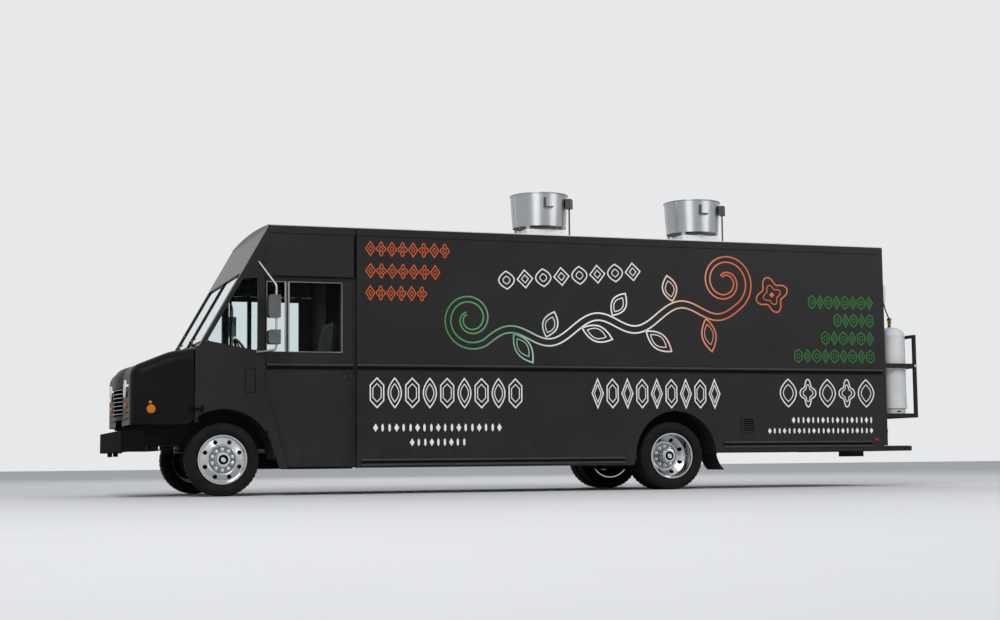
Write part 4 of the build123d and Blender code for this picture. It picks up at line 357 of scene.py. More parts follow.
class Bits:
    """Collects shapes into one mesh."""

    def __init__(self):
        self.verts = []
        self.faces = []

    def add(self, verts, faces):
        start = len(self.verts)
        self.verts.extend(tuple(v) for v in verts)
        self.faces.extend(tuple(start + i for i in face) for face in faces)

    def box(self, x, y, z):
        """A box between two X behind the front axle, two Y and two Z."""
        y = sorted(y)
        self.add([(at(x[i]), y[j], z[k]) for i in (0, 1) for j in (0, 1) for k in (0, 1)], BOX_FACES)

    def skin(self, verts, sides, closed=False):
        """Joins rows of as many points each: capped at both ends, or closed into a ring."""
        rows = len(verts) // sides
        faces = []
        for row in range(rows if closed else rows - 1):
            below, above = row * sides, (row + 1) % rows * sides
            for step in range(sides):
                ahead = (step + 1) % sides
                faces.append((below + step, below + ahead, above + ahead, above + step))
        if not closed:
            faces += [tuple(reversed(range(sides))), tuple(range((rows - 1) * sides, rows * sides))]
        self.add(verts, faces)

    def ring(self, x, y, z, width):
        """A flat frame round an opening between two X behind the front axle and two Z, from one Y to another."""
        corners = ((x[0], z[0], -1, -1), (x[1], z[0], 1, -1), (x[1], z[1], 1, 1), (x[0], z[1], -1, 1))
        section = ((0, y[0]), (width, y[0]), (width, y[1]), (0, y[1]))
        verts = [(at(a) + right * out, depth, b + up * out) for a, b, right, up in corners for out, depth in section]
        self.skin(verts, 4, closed=True)

    def turned(self, profile, centre, axis, sides=32, closed=False):
        """A solid of revolution from (along, radius) points."""
        along, centre = Vector(axis).normalized(), Vector(centre)
        spokes = spokes_about(along, along.orthogonal().normalized(), sides)
        self.skin([centre + along * distance + spoke * radius for distance, radius in profile for spoke in spokes],
                  sides, closed)

    def fitting(self, profile, side, x, y, z, sides, closed=False):
        """A turned shape that points out of one side, at an X behind the front axle."""
        self.turned(profile, (at(x), side * y, z), (0, side, 0), sides, closed)

    def tube(self, points, radius, sides=12):
        """A round bar through points."""
        points = [Vector(p) for p in points]
        across = (points[1] - points[0]).normalized().orthogonal()
        verts = []
        for index, point in enumerate(points):
            along = (points[min(index + 1, len(points) - 1)] - points[max(index - 1, 0)]).normalized()
            across = (across - along * across.dot(along)).normalized()
            verts += [point + spoke * radius for spoke in spokes_about(along, across, sides)]
        self.skin(verts, sides)

    def strip(self, points, width, closed=False):
        """A flat line of vinyl along (x, z) points, on the driver's wall."""
        points = [Vector(p) for p in points]
        count = len(points)
        verts = []
        for index, point in enumerate(points):
            first = point - points[index - 1] if closed or index else Vector((0, 0))
            second = points[(index + 1) % count] - point if closed or index < count - 1 else Vector((0, 0))
            first = first.normalized() if first.length else second.normalized()
            second = second.normalized() if second.length else first
            normal = Vector((-(first.y + second.y), first.x + second.x)).normalized()
            reach = normal * width / 2 / max(normal.dot(Vector((-first.y, first.x))), LEAST_MITRE)
            for spot, depths in ((point + reach, VINYL_Y), (point - reach, VINYL_Y[::-1])):
                verts += [(spot.x, depth, spot.y) for depth in depths]
        self.skin(verts, 4, closed)

    def piece(self, name, slot, body="root", finish=None, bevel=0):
        """Makes the joined mesh a piece that rides on a body."""
        mesh = bpy.data.meshes.new(name)
        mesh.from_pydata(self.verts, [], self.faces)
        shape = bmesh.new()
        shape.from_mesh(mesh)
        bmesh.ops.recalc_face_normals(shape, faces=shape.faces)
        shape.to_mesh(mesh)
        shape.free()
        mesh.shade_smooth()
        mesh.set_sharp_from_angle(angle=SHARP)
        obj = placed(name, mesh, slot, body, finish)
        if bevel:
            rounding = obj.modifiers.new("rounding", "BEVEL")
            rounding.width = bevel
            rounding.segments = BEVEL_SEGMENTS
            rounding.limit_method = "ANGLE"
            rounding.angle_limit = SHARP
        return obj


# Tyres with a ribbed tread, in place of the plain ones
TREAD_RIBS, TREAD_HALF = 5, 0.088
GROOVE_W, GROOVE_DEEP, GROOVE_SLOPE = 0.01, 0.012, 0.0015
SHOULDER, NOTCH = 0.004, 0.007
TYRE_STEPS, NOTCH_EVERY = 180, 4
SIDE_PROFILE = ((0.076, 0.2583), (0.076, 0.269), (0.09, 0.277), (0.098, 0.284), (0.1015, 0.296), (0.1045, 0.298),
                (0.108, 0.306), (0.1115, 0.322), (0.1118, 0.336), (0.1105, 0.349), (0.1085, 0.352), (0.1085, 0.3565),
                (0.1045, 0.366), (0.1, 0.378), (0.096, 0.386))


def tread_profile():
    """Side wall, grooved tread, side wall, as (across, radius, notched)."""
    left, right = ([(side * across, radius, False) for across, radius in SIDE_PROFILE] for side in SIDES)
    tread = [(-TREAD_HALF - SHOULDER, TYRE_R - SHOULDER, True), (-TREAD_HALF, TYRE_R, True)]
    rib = (2 * TREAD_HALF - (TREAD_RIBS - 1) * GROOVE_W) / TREAD_RIBS
    for groove in range(TREAD_RIBS - 1):
        start = -TREAD_HALF + (groove + 1) * rib + groove * GROOVE_W
        end = start + GROOVE_W
        tread += [(start, TYRE_R, groove == 0), (start + GROOVE_SLOPE, TYRE_R - GROOVE_DEEP, False),
                  (end - GROOVE_SLOPE, TYRE_R - GROOVE_DEEP, False), (end, TYRE_R, groove == TREAD_RIBS - 2)]
    tread += [(TREAD_HALF, TYRE_R, True), (TREAD_HALF + SHOULDER, TYRE_R - SHOULDER, True)]
    return left + tread + right[::-1]


def tyre_mesh(bits, centre):
    """One tyre about the Y axis, with notches across its shoulder ribs."""
    profile = tread_profile()
    verts = []
    for step, turn in enumerate(turns(TYRE_STEPS)):
        notch = 0 if step % NOTCH_EVERY else NOTCH
        for across, radius, notched in profile:
            reach = radius - (notch if notched else 0)
            verts.append((centre[0] + reach * cos(turn), centre[1] + across, centre[2] + reach * sin(turn)))
    bits.skin(verts, len(profile), closed=True)


for corner in ("front_left", "front_right", "rear_left", "rear_right"):
    low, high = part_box("tyre_" + corner)
    bits = Bits()
    centres = [(low.y + high.y) / 2] if corner.startswith("front") else [low.y + TYRE_HALF, high.y - TYRE_HALF]
    for y in centres:
        tyre_mesh(bits, ((low.x + high.x) / 2, y, (low.z + high.z) / 2))
    piece = bits.piece("tread_" + corner, "tyre_rubber", "wheel_" + corner)
    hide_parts("tyre_" + corner)


# Gas hose, by its route's points from the valve
CYL_LOW, CYL_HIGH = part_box("gas_cylinders")
VALVE = Vector((at(8.45), CYL_LOW.y + 0.186, CYL_HIGH.z))
HOSE_DIAMETER, HOSE_LENGTH = 0.016, 0.385
HOSE_POINTS = (
    (-0.025, -0.0433, 0.06),
    (-0.065, -0.113, 0.06),
    (-0.135, -0.193, 0.115),
    (-0.195, -0.225, 0.195),
    (-0.215, -0.227, 0.28),
)
route = [VALVE + Vector(point) for point in HOSE_POINTS]
curve = bpy.data.curves.new("gas_hose_line", "CURVE")
curve.dimensions = "3D"
curve.bevel_depth = HOSE_DIAMETER / 2
curve.bevel_resolution = 5
curve.resolution_u = 12
curve.use_fill_caps = True
spline = curve.splines.new("NURBS")
spline.points.add(len(route) - 1)
for target, point in zip(spline.points, route):
    target.co = (*point, 1)
spline.order_u = 3
spline.use_endpoint_u = True
hose = placed("gas_hose_line", curve, "hose_rubber", "root")
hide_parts("gas_hose")


# Shared places, in metres: X behind the front axle, Z up
COWL, EAVE = (-0.264, 1.627), (0.485, 2.955)
RAKE = (EAVE[0] - COWL[0]) / (EAVE[1] - COWL[1])
SHIELD_Z, SHIELD_Y = (1.66, 2.43), (0.015, 1.085)
QUARTER = ((-0.1986, 1.672), (0.363, 1.568), (0.363, 2.377), (0.1905, 2.362))
DOOR_SKIN = 1.155
PANES, PANE_Z = ((0.47, 0.67), (0.713, 1.304)), (1.571, 2.335)


def rake_x(z):
    """The X of the raked front at a height."""
    return COWL[0] + (z - COWL[1]) * RAKE


def on_side(side, x, out, z):
    """A place out from a side wall's face, at an X behind the front axle."""
    return at(x), side * (FACE + out), z


def rounded(points, radius, steps=5):
    """A closed loop through the points with its corners eased."""
    points = [Vector(p) for p in points]
    loop = []
    for index, point in enumerate(points):
        before, after = points[index - 1] - point, points[(index + 1) % len(points)] - point
        start = point + before.normalized() * min(radius, before.length / 2)
        end = point + after.normalized() * min(radius, after.length / 2)
        loop += [start * (1 - t) ** 2 + point * 2 * t * (1 - t) + end * t ** 2 for t in spaced(0, 1, steps)]
    return loop + [loop[0]]


# Door window trims, a bright double bar between the panes, door latches
TRIM_W, TRIM_Y, BAR_Y = 0.0065, (-0.01, 0.0062), (0.0041, 0.0085)
BAR_X, BAR_OVER = ((0.664, 0.682), (0.7, 0.718)), 0.004
LATCH_X, LATCH_Z, LATCH_Y = (1.333, 1.367), (1.262, 1.328), (-0.0115, -0.004)
LOCK, LOCK_X, LOCK_Z = ((0, 0.011), (0.003, 0.011), (0.005, 0.008)), 1.35, 1.205
for side in SIDES:
    bits = Bits()
    for x in PANES:
        bits.ring(x, [side * (DOOR_SKIN + out) for out in TRIM_Y], PANE_Z, TRIM_W)
    for x in BAR_X:
        bits.box(x, [side * (DOOR_SKIN + out) for out in BAR_Y], (PANE_Z[0] - BAR_OVER, PANE_Z[1] + BAR_OVER))
    bits.piece("window_trim_" + SIDES[side], "plain_aluminium", DOOR_BODIES[side], "window_trim", 0.0012)
    bits = Bits()
    bits.box(LATCH_X, [side * (DOOR_SKIN + out) for out in LATCH_Y], LATCH_Z)
    bits.fitting(LOCK, side, LOCK_X, DOOR_SKIN, LOCK_Z, 20)
    bits.piece("door_latch_" + SIDES[side], "black_plastic", DOOR_BODIES[side], bevel=0.002)

# Rubber seals round the quarter windows and both windscreen panes
SEAL_CORNER = 0.05
bits = Bits()
for side in SIDES:
    bits.tube(rounded([on_side(side, x, -0.001, z) for x, z in QUARTER], SEAL_CORNER), 0.006, 10)
    corners = [(SHIELD_Y[i], SHIELD_Z[j]) for i, j in ((0, 0), (1, 0), (1, 1), (0, 1))]
    bits.tube(rounded([(at(rake_x(z)) + 0.001, side * y, z) for y, z in corners], SEAL_CORNER), 0.004, 10)
bits.piece("window_seals", "black_plastic")

# Painted shade: dark strips under the rails, in their grooves, in the seam behind the cab and in the groove round
# the small cover; painted highlights: lighter strips on the rails' faces
BELT_Z = 1.41
CAB_BACK, BOX_FRONT, WALL_REAR = 1.435, 1.468, 8.152
BELT_X, DOOR_RAIL_X = (BOX_FRONT, WALL_REAR), (0.47, 1.433)
SKIRTS = (((1.511, 4.669), 0.357), ((5.952, 7.972), 0.528))
THIN, SKIRT_OUT = 0.0007, 0.0128
# Shade bands are painted shade under and between the rails' ridges; shine bands are painted highlights where the
# rails' faces catch the sky
# From and to a height, out from the face, thick
BELT_SHADE, BELT_SHINE = ((-0.0325, -0.005, 0.0041, THIN),), ((0.0095, 0.0255, 0.0171, THIN),)
SKIRT_SHADE = ((-0.0075, 0.0075, 0.0031, THIN), (-0.0205, -0.0125, 0, SKIRT_OUT))
SKIRT_SHINE = ((0.0125, 0.0325, 0, SKIRT_OUT), (-0.04, -0.0205, 0, SKIRT_OUT))
CAB_SEAM_X, CAB_SEAM_IN, CAB_SEAM_Z = (CAB_BACK + 0.001, BOX_FRONT - 0.001), (0.0148, 0.0141), (2.404, 2.87)
COVER_X, COVER_Z, COVER_GROOVE = (0.233, 0.331), (1.124, 1.369), 0.0078
for side in SIDES:
    rows = (("", "root", FACE, BELT_X, SKIRTS), ("door_", DOOR_BODIES[side], DOOR_SKIN, DOOR_RAIL_X, ()))
    for start, body, face, belt_x, skirts in rows:
        shade, shine = Bits(), Bits()
        for bits, belt, skirt in ((shade, BELT_SHADE, SKIRT_SHADE), (shine, BELT_SHINE, SKIRT_SHINE)):
            for x, z, bands in ((belt_x, BELT_Z, belt), *((x, z, skirt) for x, z in skirts)):
                for low, high, out, thick in bands:
                    bits.box(x, (side * (face + out), side * (face + out + thick)), (z + low, z + high))
        if skirts:
            # A dark sheet set back in the gap behind the cab: painted shade
            shade.box(CAB_SEAM_X, [side * (FACE - out) for out in CAB_SEAM_IN], CAB_SEAM_Z)
        shade.piece(start + "rail_shade_" + SIDES[side], "black_plastic", body, "black_and_painted_shade")
        shine.piece(start + "rail_highlight_" + SIDES[side], "black_paint", body, "rail_highlight")
# A dark ring round the small cover: painted shade in its groove
bits = Bits()
for side in SIDES:
    bits.ring(COVER_X, (side * (FACE - 0.0028), side * (FACE - 0.002)), COVER_Z, COVER_GROOVE)
bits.piece("cover_groove_shade", "black_plastic", finish="black_and_painted_shade")

# Grille strips, headlight lenses, hood hooks and straps
NOSE_R = 1.4814
NOSE_AXIS = -1.04 + NOSE_R
GRILLE_ROWS, GRILLE_LOW, GRILLE_H, GRILLE_W, GRILLE_STEPS = 7, 0.885, 0.31, 0.794, 24
bits = Bits()
for index in range(GRILLE_ROWS):
    z = GRILLE_LOW + (index + 0.5) * GRILLE_H / GRILLE_ROWS
    places = spaced(-GRILLE_W / 2, GRILLE_W / 2, GRILLE_STEPS)
    bits.tube([(at(NOSE_AXIS - sqrt((NOSE_R + 0.001) ** 2 - y ** 2)), y, z + 0.004) for y in places], 0.003, 8)
bits.piece("grille_strips", "chrome", "hood")

LAMP = Vector((at(-0.987), 0.76, 1.17))
DOME = ((0.0125, 0.079), (0.0165, 0.076), (0.0215, 0.06), (0.0262, 0.04), (0.029, 0.02), (0.03, 0.004))
bits = Bits()
for side in SIDES:
    bits.turned(DOME, (LAMP.x, side * LAMP.y, LAMP.z), (-1, 0, 0), 48)
bits.piece("headlight_lenses", "clear_glass", "hood", "pale_lens")

STRAP_Z, HOOK_X, PEG_X = 0.94, -0.362, -0.236
KNOB = ((0, 0.016), (0.006, 0.016), (0.01, 0.009), (0.02, 0.009), (0.023, 0.015), (0.028, 0.013))
STRAP = ((PEG_X, 0.024, 0), (-0.262, 0.021, -0.001), (-0.3, 0.018, -0.002), (-0.338, 0.021, -0.001),
         (-0.372, 0.024, 0))
hooks, straps = Bits(), Bits()
for side in SIDES:
    hooks.fitting(KNOB, side, HOOK_X, FACE, STRAP_Z, 20)
    straps.fitting(KNOB, side, PEG_X, FACE, STRAP_Z, 20)
    straps.tube([on_side(side, x, out, STRAP_Z + up) for x, out, up in STRAP], 0.011, 10)
    for x, out, half, radius in ((PEG_X, 0.024, 0.04, 0.011), (-0.368, 0.0255, 0.034, 0.01)):
        straps.tube([on_side(side, x, out, STRAP_Z + up) for up in (-half, half)], radius, 10)
hooks.piece("hood_hooks", "black_plastic", "hood")
straps.piece("hood_straps", "hose_rubber", finish="black_and_painted_shade")

# Aerial on the driver's side
AERIAL_FOOT, FOOT_X, FOOT_Z = ((0, 0.016), (0.01, 0.016), (0.016, 0.01), (0.026, 0.01)), 0.44, 2.55
AERIAL = ((0.44, 0.02, 2.545), (0.446, 0.021, 2.585), (0.47, 0.021, 2.744))
bits = Bits()
bits.fitting(AERIAL_FOOT, -1, FOOT_X, FACE, FOOT_Z, 20)
bits.tube([on_side(-1, *place) for place in AERIAL], 0.005, 8)
bits.piece("aerial", "black_plastic")

# Wheel details, as (along, radius) profiles
NUTS, NUT_RING, STEM_R = 10, 0.1125, 0.232
NUT = (
    (((0, 0.019), (0.004, 0.019), (0.004, 0.0185)), 20),
    (((0.004, 0.0165), (0.021, 0.0165), (0.024, 0.0135)), 6),
    (((0.023, 0.0085), (0.033, 0.0085), (0.034, 0.0065)), 12),
)
STEM = ((0, 0.006), (0.022, 0.006), (0.026, 0.0045))
HUB_RIM = ((-0.012, 0.0735), (0.006, 0.0725), (0.013, 0.068), (0.013, 0.054), (0.006, 0.05), (0.0008, 0.05),
           (0.0008, 0.073))
HUB_CAP, HUB_TIP = ((0.0016, 0.03), (0.018, 0.03), (0.023, 0.024)), ((0.022, 0.017), (0.027, 0.012), (0.028, 0.004))
BOLTS, BOLT_RING, BOLT = 8, 0.061, ((0, 0.0052), (0.003, 0.0052), (0.0045, 0.004))
DISC_BEAD = ((-0.004, 0.146), (0.006, 0.148), (0.01, 0.153), (0.01, 0.158), (0.006, 0.163), (-0.004, 0.168))
NUT_ZONE = ((0.0002, 0.084), (0.001, 0.084), (0.001, 0.147), (0.0002, 0.147))
HUB_SHADE = ((0.0002, 0.0505), (0.0012, 0.0505))
HOLE_SHADE = ((0, 0.168), (0.001, 0.168), (0.001, 0.232), (0, 0.232))
FRONT_TRACK, DUAL_FACE = 1.02, 1.075
WHEELS = (
    # name, X behind the front axle, disc face, hub end, valve stem's foot, shade behind the holes
    ("front", 0, FRONT_TRACK + 0.078, FRONT_TRACK + 0.14, -0.004, FRONT_TRACK + 0.036),
    ("rear", REAR_AXLE_X - at(0), DUAL_FACE - 0.118, DUAL_FACE + 0.015, 0.045, DUAL_FACE - 0.15),
)
for end, x, face, hub, stem_out, back in WHEELS:
    for side in SIDES:
        name = end + "_" + SIDES[side]
        nuts, cover, zone, recess = Bits(), Bits(), Bits(), Bits()
        for turn in turns(NUTS, 0.5):
            spot = x + NUT_RING * cos(turn), face, TYRE_R + NUT_RING * sin(turn)
            for profile, sides in NUT:
                nuts.fitting(profile, side, *spot, sides)
        nuts.fitting(STEM, side, x + STEM_R, face + stem_out, TYRE_R, 12)
        for turn in turns(BOLTS):
            spot = x + BOLT_RING * cos(turn), hub + 0.0125, TYRE_R + BOLT_RING * sin(turn)
            cover.fitting(BOLT, side, *spot, 6)
        # The recess bits are painted shade: dark discs inside the hub cover and behind the disc's hand holes
        for bits, profile, y, sides, closed in (
                (cover, HUB_RIM, hub, 48, True), (cover, HUB_CAP, hub, 6, False), (cover, HUB_TIP, hub, 24, False),
                (cover, DISC_BEAD, face, 64, True), (zone, NUT_ZONE, face, 64, True),
                (recess, HUB_SHADE, hub, 40, False), (recess, HOLE_SHADE, back, 64, True)):
            bits.fitting(profile, side, x, y, TYRE_R, sides, closed)
        nuts.piece("wheel_nuts_" + name, "chrome", "wheel_" + name)
        cover.piece("hub_cover_" + name, "chrome", "wheel_" + name)
        zone.piece("nut_zone_" + name, "plain_aluminium", "wheel_" + name, "nut_zone")
        recess.piece("hub_painted_shade_" + name, "black_plastic", "wheel_" + name, "black_and_painted_shade")

# Fans: screws and lap seams on the band, wire guard over the top
FANS = ((4.083, -167), (6.17, -149))
BAND_LOW, BAND_TOP = CAP_TOP + 0.04, CAP_TOP + 0.44
BAND_LOW_R, BAND_TOP_R = 0.331, 0.356
GUARD_RINGS, RING_STEPS, GUARD_RAYS, RAY_R = (0.225, 0.262, 0.3, 0.334), 72, 16, (0.188, 0.352)
SCREW, SCREW_STEPS, SCREW_OUT = ((0, 0.008), (0.003, 0.008), (0.006, 0.004)), (-0.19, 0, 0.19), 0.253
RIVET, RIVETS = ((0, 0.005), (0.0015, 0.005), (0.003, 0.0025)), 8
LAP_HALF, LAP_OUT, LAP_IN = 0.011, 0.0012, 0.0005
screws, guards, seams = Bits(), Bits(), Bits()
for x, seam in FANS:
    def on_fan(radius, turn, z):
        """A place round the fan's axis."""
        return at(x) + radius * cos(turn), radius * sin(turn), z

    for side in SIDES:
        for step in SCREW_STEPS:
            screws.fitting(SCREW, side, x + step, SCREW_OUT, CAP_TOP - 0.026, 12)
            screws.turned(SCREW, (at(x) + side * SCREW_OUT, step, CAP_TOP - 0.026), (side, 0, 0), 12)
    for radius in GUARD_RINGS:
        places = [on_fan(radius, turn, BAND_TOP - 0.004) for turn in spaced(0, 2 * pi, RING_STEPS)]
        guards.tube(places, 0.0022, 6)
    for turn in turns(GUARD_RAYS):
        guards.tube([on_fan(radius, turn, BAND_TOP - 0.008) for radius in RAY_R], 0.0026, 6)
    for turn in (radians(seam), radians(seam + 180)):
        lap = []
        for z, radius in ((BAND_LOW + 0.004, BAND_LOW_R), (BAND_TOP - 0.012, BAND_TOP_R - 0.0008)):
            for away in (-LAP_HALF, LAP_HALF):
                lap += [on_fan(out, turn + away / radius, z) for out in (radius + LAP_OUT, radius - LAP_IN)]
        seams.add(lap, BOX_FACES)
        for step in range(RIVETS):
            share = (step + 0.5) / RIVETS
            radius = BAND_LOW_R + (BAND_TOP_R - BAND_LOW_R) * share + 0.001
            spot = on_fan(radius, turn, BAND_LOW + share * (BAND_TOP - BAND_LOW))
            seams.turned(RIVET, spot, (cos(turn), sin(turn), 0), 10)
screws.piece("curb_screws", "steel")
guards.piece("fan_guards", "steel")
seams.piece("band_seams", "polished_aluminium")

# Roof seams with their rivets, following the crown
ROOF_EDGE_Y, ROOF_EDGE_Z, ROOF_RISE = 1.206, 2.965, 0.047
SEAMS_X = (1.452, 2.58, 3.6, 4.62, 5.64, 6.76, 7.48)
SEAM_W, SEAM_LONG, SEAM_STEPS = 0.045, 2.38, 24
SEAM_SECTION = ((0, 0.0002), (SEAM_W, 0.0002), (SEAM_W - 0.004, 0.0026), (0.004, 0.0026))
ROOF_RIVET, ROOF_RIVETS, RIVETS_LONG = ((0, 0.006), (0.002, 0.005), (0.0035, 0.002)), 20, 2.3


def roof_z(y):
    """Height of the crowned roof."""
    return ROOF_EDGE_Z + ROOF_RISE * (1 - (y / ROOF_EDGE_Y) ** 2)


seams = Bits()
for x in SEAMS_X:
    places = spaced(-SEAM_LONG / 2, SEAM_LONG / 2, SEAM_STEPS)
    seams.skin([(at(x) + dx - SEAM_W / 2, y, roof_z(y) + dz) for y in places for dx, dz in SEAM_SECTION], 4)
    for y in spaced(-RIVETS_LONG / 2, RIVETS_LONG / 2, ROOF_RIVETS - 1):
        for dx in (-0.011, 0.011):
            seams.turned(ROOF_RIVET, (at(x) + dx, y, roof_z(y) + 0.0022), (0, 0, 1), 8)
seams.piece("roof_seams", "white_paint")

# Vent slats, valve caps and handwheels, cage reflectors, mirror glasses
SLATS, SLAT_LOW, SLAT_PITCH, SLAT_X = 6, 0.686, 0.0258, (6.209, 6.353)
SLAT_SECTION = ((0.0075, 0.01), (0.0135, 0), (0.0072, 0.014), (0.0135, 0.003))
bits = Bits()
for z in (SLAT_LOW + index * SLAT_PITCH for index in range(SLATS)):
    bits.add([on_side(-1, x, out, z + up) for x in SLAT_X for out, up in SLAT_SECTION], BOX_FACES)
bits.piece("vent_slats", "black_plastic", finish="black_and_painted_shade")

OUTLET = Vector((-0.5, -sqrt(0.75), 0))
CYLINDER_PITCH, OUTLET_UP, OUTLET_OUT, WHEEL_UP = 0.42, 0.06, 0.0155, 0.1102
PLUG = ((0, 0.017), (0, 0.024), (0.004, 0.026), (0.014, 0.026), (0.0175, 0.023), (0.0175, 0.017))
HANDWHEEL = ((0, 0.02), (0.003, 0.0225), (0.01, 0.0225), (0.013, 0.014))
bits = Bits()
for y in (VALVE.y, VALVE.y + CYLINDER_PITCH):
    bits.turned(PLUG, Vector((VALVE.x, y, VALVE.z + OUTLET_UP)) + OUTLET * OUTLET_OUT, OUTLET, 28)
    bits.turned(HANDWHEEL, (VALVE.x, y, VALVE.z + WHEEL_UP), (0, 0, 1), 24)
bits.piece("valve_caps", "brass", finish="yellow_cap")

REFLECTOR, REFLECTOR_X, REFLECTOR_Z = ((0, 0.014), (0.003, 0.014), (0.005, 0.01), (0.006, 0.003)), 8.656, 1.49
bits = Bits()
for y, out in ((-1.151, -1), (-0.261, 1)):
    bits.fitting(REFLECTOR, out, REFLECTOR_X, out * y, REFLECTOR_Z, 24)
bits.piece("cage_reflectors", "red_lens", finish="pale_lens")

MIRROR_Y, MIRROR_EDGE = (1.332, 1.468), 0.012
MIRROR_X, MIRROR_Z = (0.5592, 0.5622), ((1.632, 1.784), (1.919, 2.163))
bits = Bits()
for side in SIDES:
    for low, high in MIRROR_Z:
        bits.box(MIRROR_X, [side * y for y in MIRROR_Y], (low + MIRROR_EDGE, high - MIRROR_EDGE))
bits.piece("mirror_glasses", "chrome", bevel=0.001)

# Serving hatch: trim round the opening, handles on the panel
HATCH_X, HATCH_Z, HATCH_TRIM, HATCH_Y = (2.572, 5.028), (1.442, 2.448), 0.026, (FACE + 0.0002, FACE + 0.003)
HANDLES_X, HANDLE_HALF, HANDLE_Z = (3.05, 4.55), 0.055, 1.545
bits = Bits()
side_z = (HATCH_Z[0] + HATCH_TRIM, HATCH_Z[1])
for x, z in ((HATCH_X, (HATCH_Z[0], side_z[0])), ((HATCH_X[0], HATCH_X[0] + HATCH_TRIM), side_z),
             ((HATCH_X[1] - HATCH_TRIM, HATCH_X[1]), side_z)):
    bits.box(x, HATCH_Y, z)
bits.piece("hatch_trim", "plain_aluminium", bevel=0.001)
bits = Bits()
for x in HANDLES_X:
    bends = ((-HANDLE_HALF, -0.005), (-HANDLE_HALF, 0.014), (HANDLE_HALF, 0.014), (HANDLE_HALF, -0.005))
    bits.tube([on_side(1, x + dx, out, HANDLE_Z) for dx, out in bends], 0.005, 10)
    for dx in (-HANDLE_HALF, HANDLE_HALF):
        bits.fitting(((0, 0.014), (0.003, 0.012)), 1, x + dx, FACE - 0.005, HANDLE_Z, 16)
bits.piece("hatch_handles", "steel", "serving_hatch")

# Treads: ribs on the cab steps and the rear step
STEP_X, STEP_Y, STEP_PITCH, STEP_RIBS, STEP_Z = (0.712, 1.422), (0.832, 0.84), 0.021, 7, (0.5752, 0.5785)
REAR_X, REAR_RIB_W, REAR_PITCH, REAR_RIBS, REAR_HALF, REAR_Z = 8.232, 0.016, 0.04, 9, 1.085, (0.4942, 0.4975)
bits = Bits()
for side in SIDES:
    for index in range(STEP_RIBS):
        bits.box(STEP_X, [side * (y + index * STEP_PITCH) for y in STEP_Y], STEP_Z)
for index in range(REAR_RIBS):
    x = REAR_X + index * REAR_PITCH
    bits.box((x, x + REAR_RIB_W), (-REAR_HALF, REAR_HALF), REAR_Z)
bits.piece("step_treads", "plain_aluminium", bevel=0.0008)

# Driver's seat: padded cushion and back on a metal base
SEAT_X, SEAT_Y, SEAT_HALF, SEAT_Z = (0.742, 1.2), -0.55, 0.248, 1.155
BACK_HALF, BACK_NARROW, BACK_PLACE, BACK_LEAN = 0.345, 0.012, (1.262, 1.6), (0.085, 0, 0.67)
PAD_STEPS, PAD_PULL, CORNER_PULL, CHANNEL_W, CHANNEL_DEEP, WELT = 32, 0.03, 0.05, 0.045, 0.012, 0.006
# The base's X, half width and Z, and the back plate's section
BASE_BOXES = (((0.79, 1.18), 0.18, (0.8602, 1.12)), ((0.76, 1.21), 0.225, (1.12, 1.15)))
PLATE, PLATE_HALF = ((-0.33, -0.048), (0.32, -0.048), (-0.33, -0.036), (0.32, -0.036)), 0.215
BACK_STAY, STAY_Y = ((1.19, 1.135), (1.245, 1.18), (1.275, 1.33)), 0.19


def pad_mesh(bits, to_world, half_long, half_wide, thick, crown, channel):
    """A crowned closed cushion with pulled-in sides and sewn channels."""
    places, verts = {}, []
    for layer in (0, 1):
        for i in range(PAD_STEPS + 1):
            for j in range(PAD_STEPS + 1):
                if layer and (i in (0, PAD_STEPS) or j in (0, PAD_STEPS)):
                    places[1, i, j] = places[0, i, j]
                    continue
                u, v = sin(pi * (i / PAD_STEPS - 0.5)), sin(pi * (j / PAD_STEPS - 0.5))
                edge = max(1 - abs(u) ** 5, 0) ** 0.5 * max(1 - abs(v) ** 5, 0) ** 0.5
                groove = sum(exp(-((v - line) / CHANNEL_W) ** 2) for line in (-channel, channel))
                corner = abs(u * v) ** 4
                long = half_long * u * (1 - PAD_PULL * (1 - v * v) - CORNER_PULL * corner)
                wide = half_wide * v * (1 - PAD_PULL * (1 - u * u) - CORNER_PULL * corner)
                height = thick * 0.4 * (1 - edge)
                if layer:
                    rise = crown * (1 - u * u) * (1 - v * v)
                    height = thick * (0.4 + 0.6 * edge) + rise - CHANNEL_DEEP * groove * edge
                places[layer, i, j] = len(verts)
                verts.append(to_world(long, wide, height))
    faces = []
    for i in range(PAD_STEPS):
        for j in range(PAD_STEPS):
            for layer in (0, 1):
                corners = [places[layer, a, b] for a, b in ((i, j), (i, j + 1), (i + 1, j + 1), (i + 1, j))]
                faces.append(tuple(reversed(corners) if layer else corners))
    bits.add(verts, faces)
    rim = [(0, i, 0) for i in range(PAD_STEPS)] + [(0, PAD_STEPS, j) for j in range(PAD_STEPS)]
    rim += [(0, i, PAD_STEPS) for i in range(PAD_STEPS, 0, -1)] + [(0, 0, j) for j in range(PAD_STEPS, -1, -1)]
    bits.tube([verts[places[key]] for key in rim], WELT, 8)


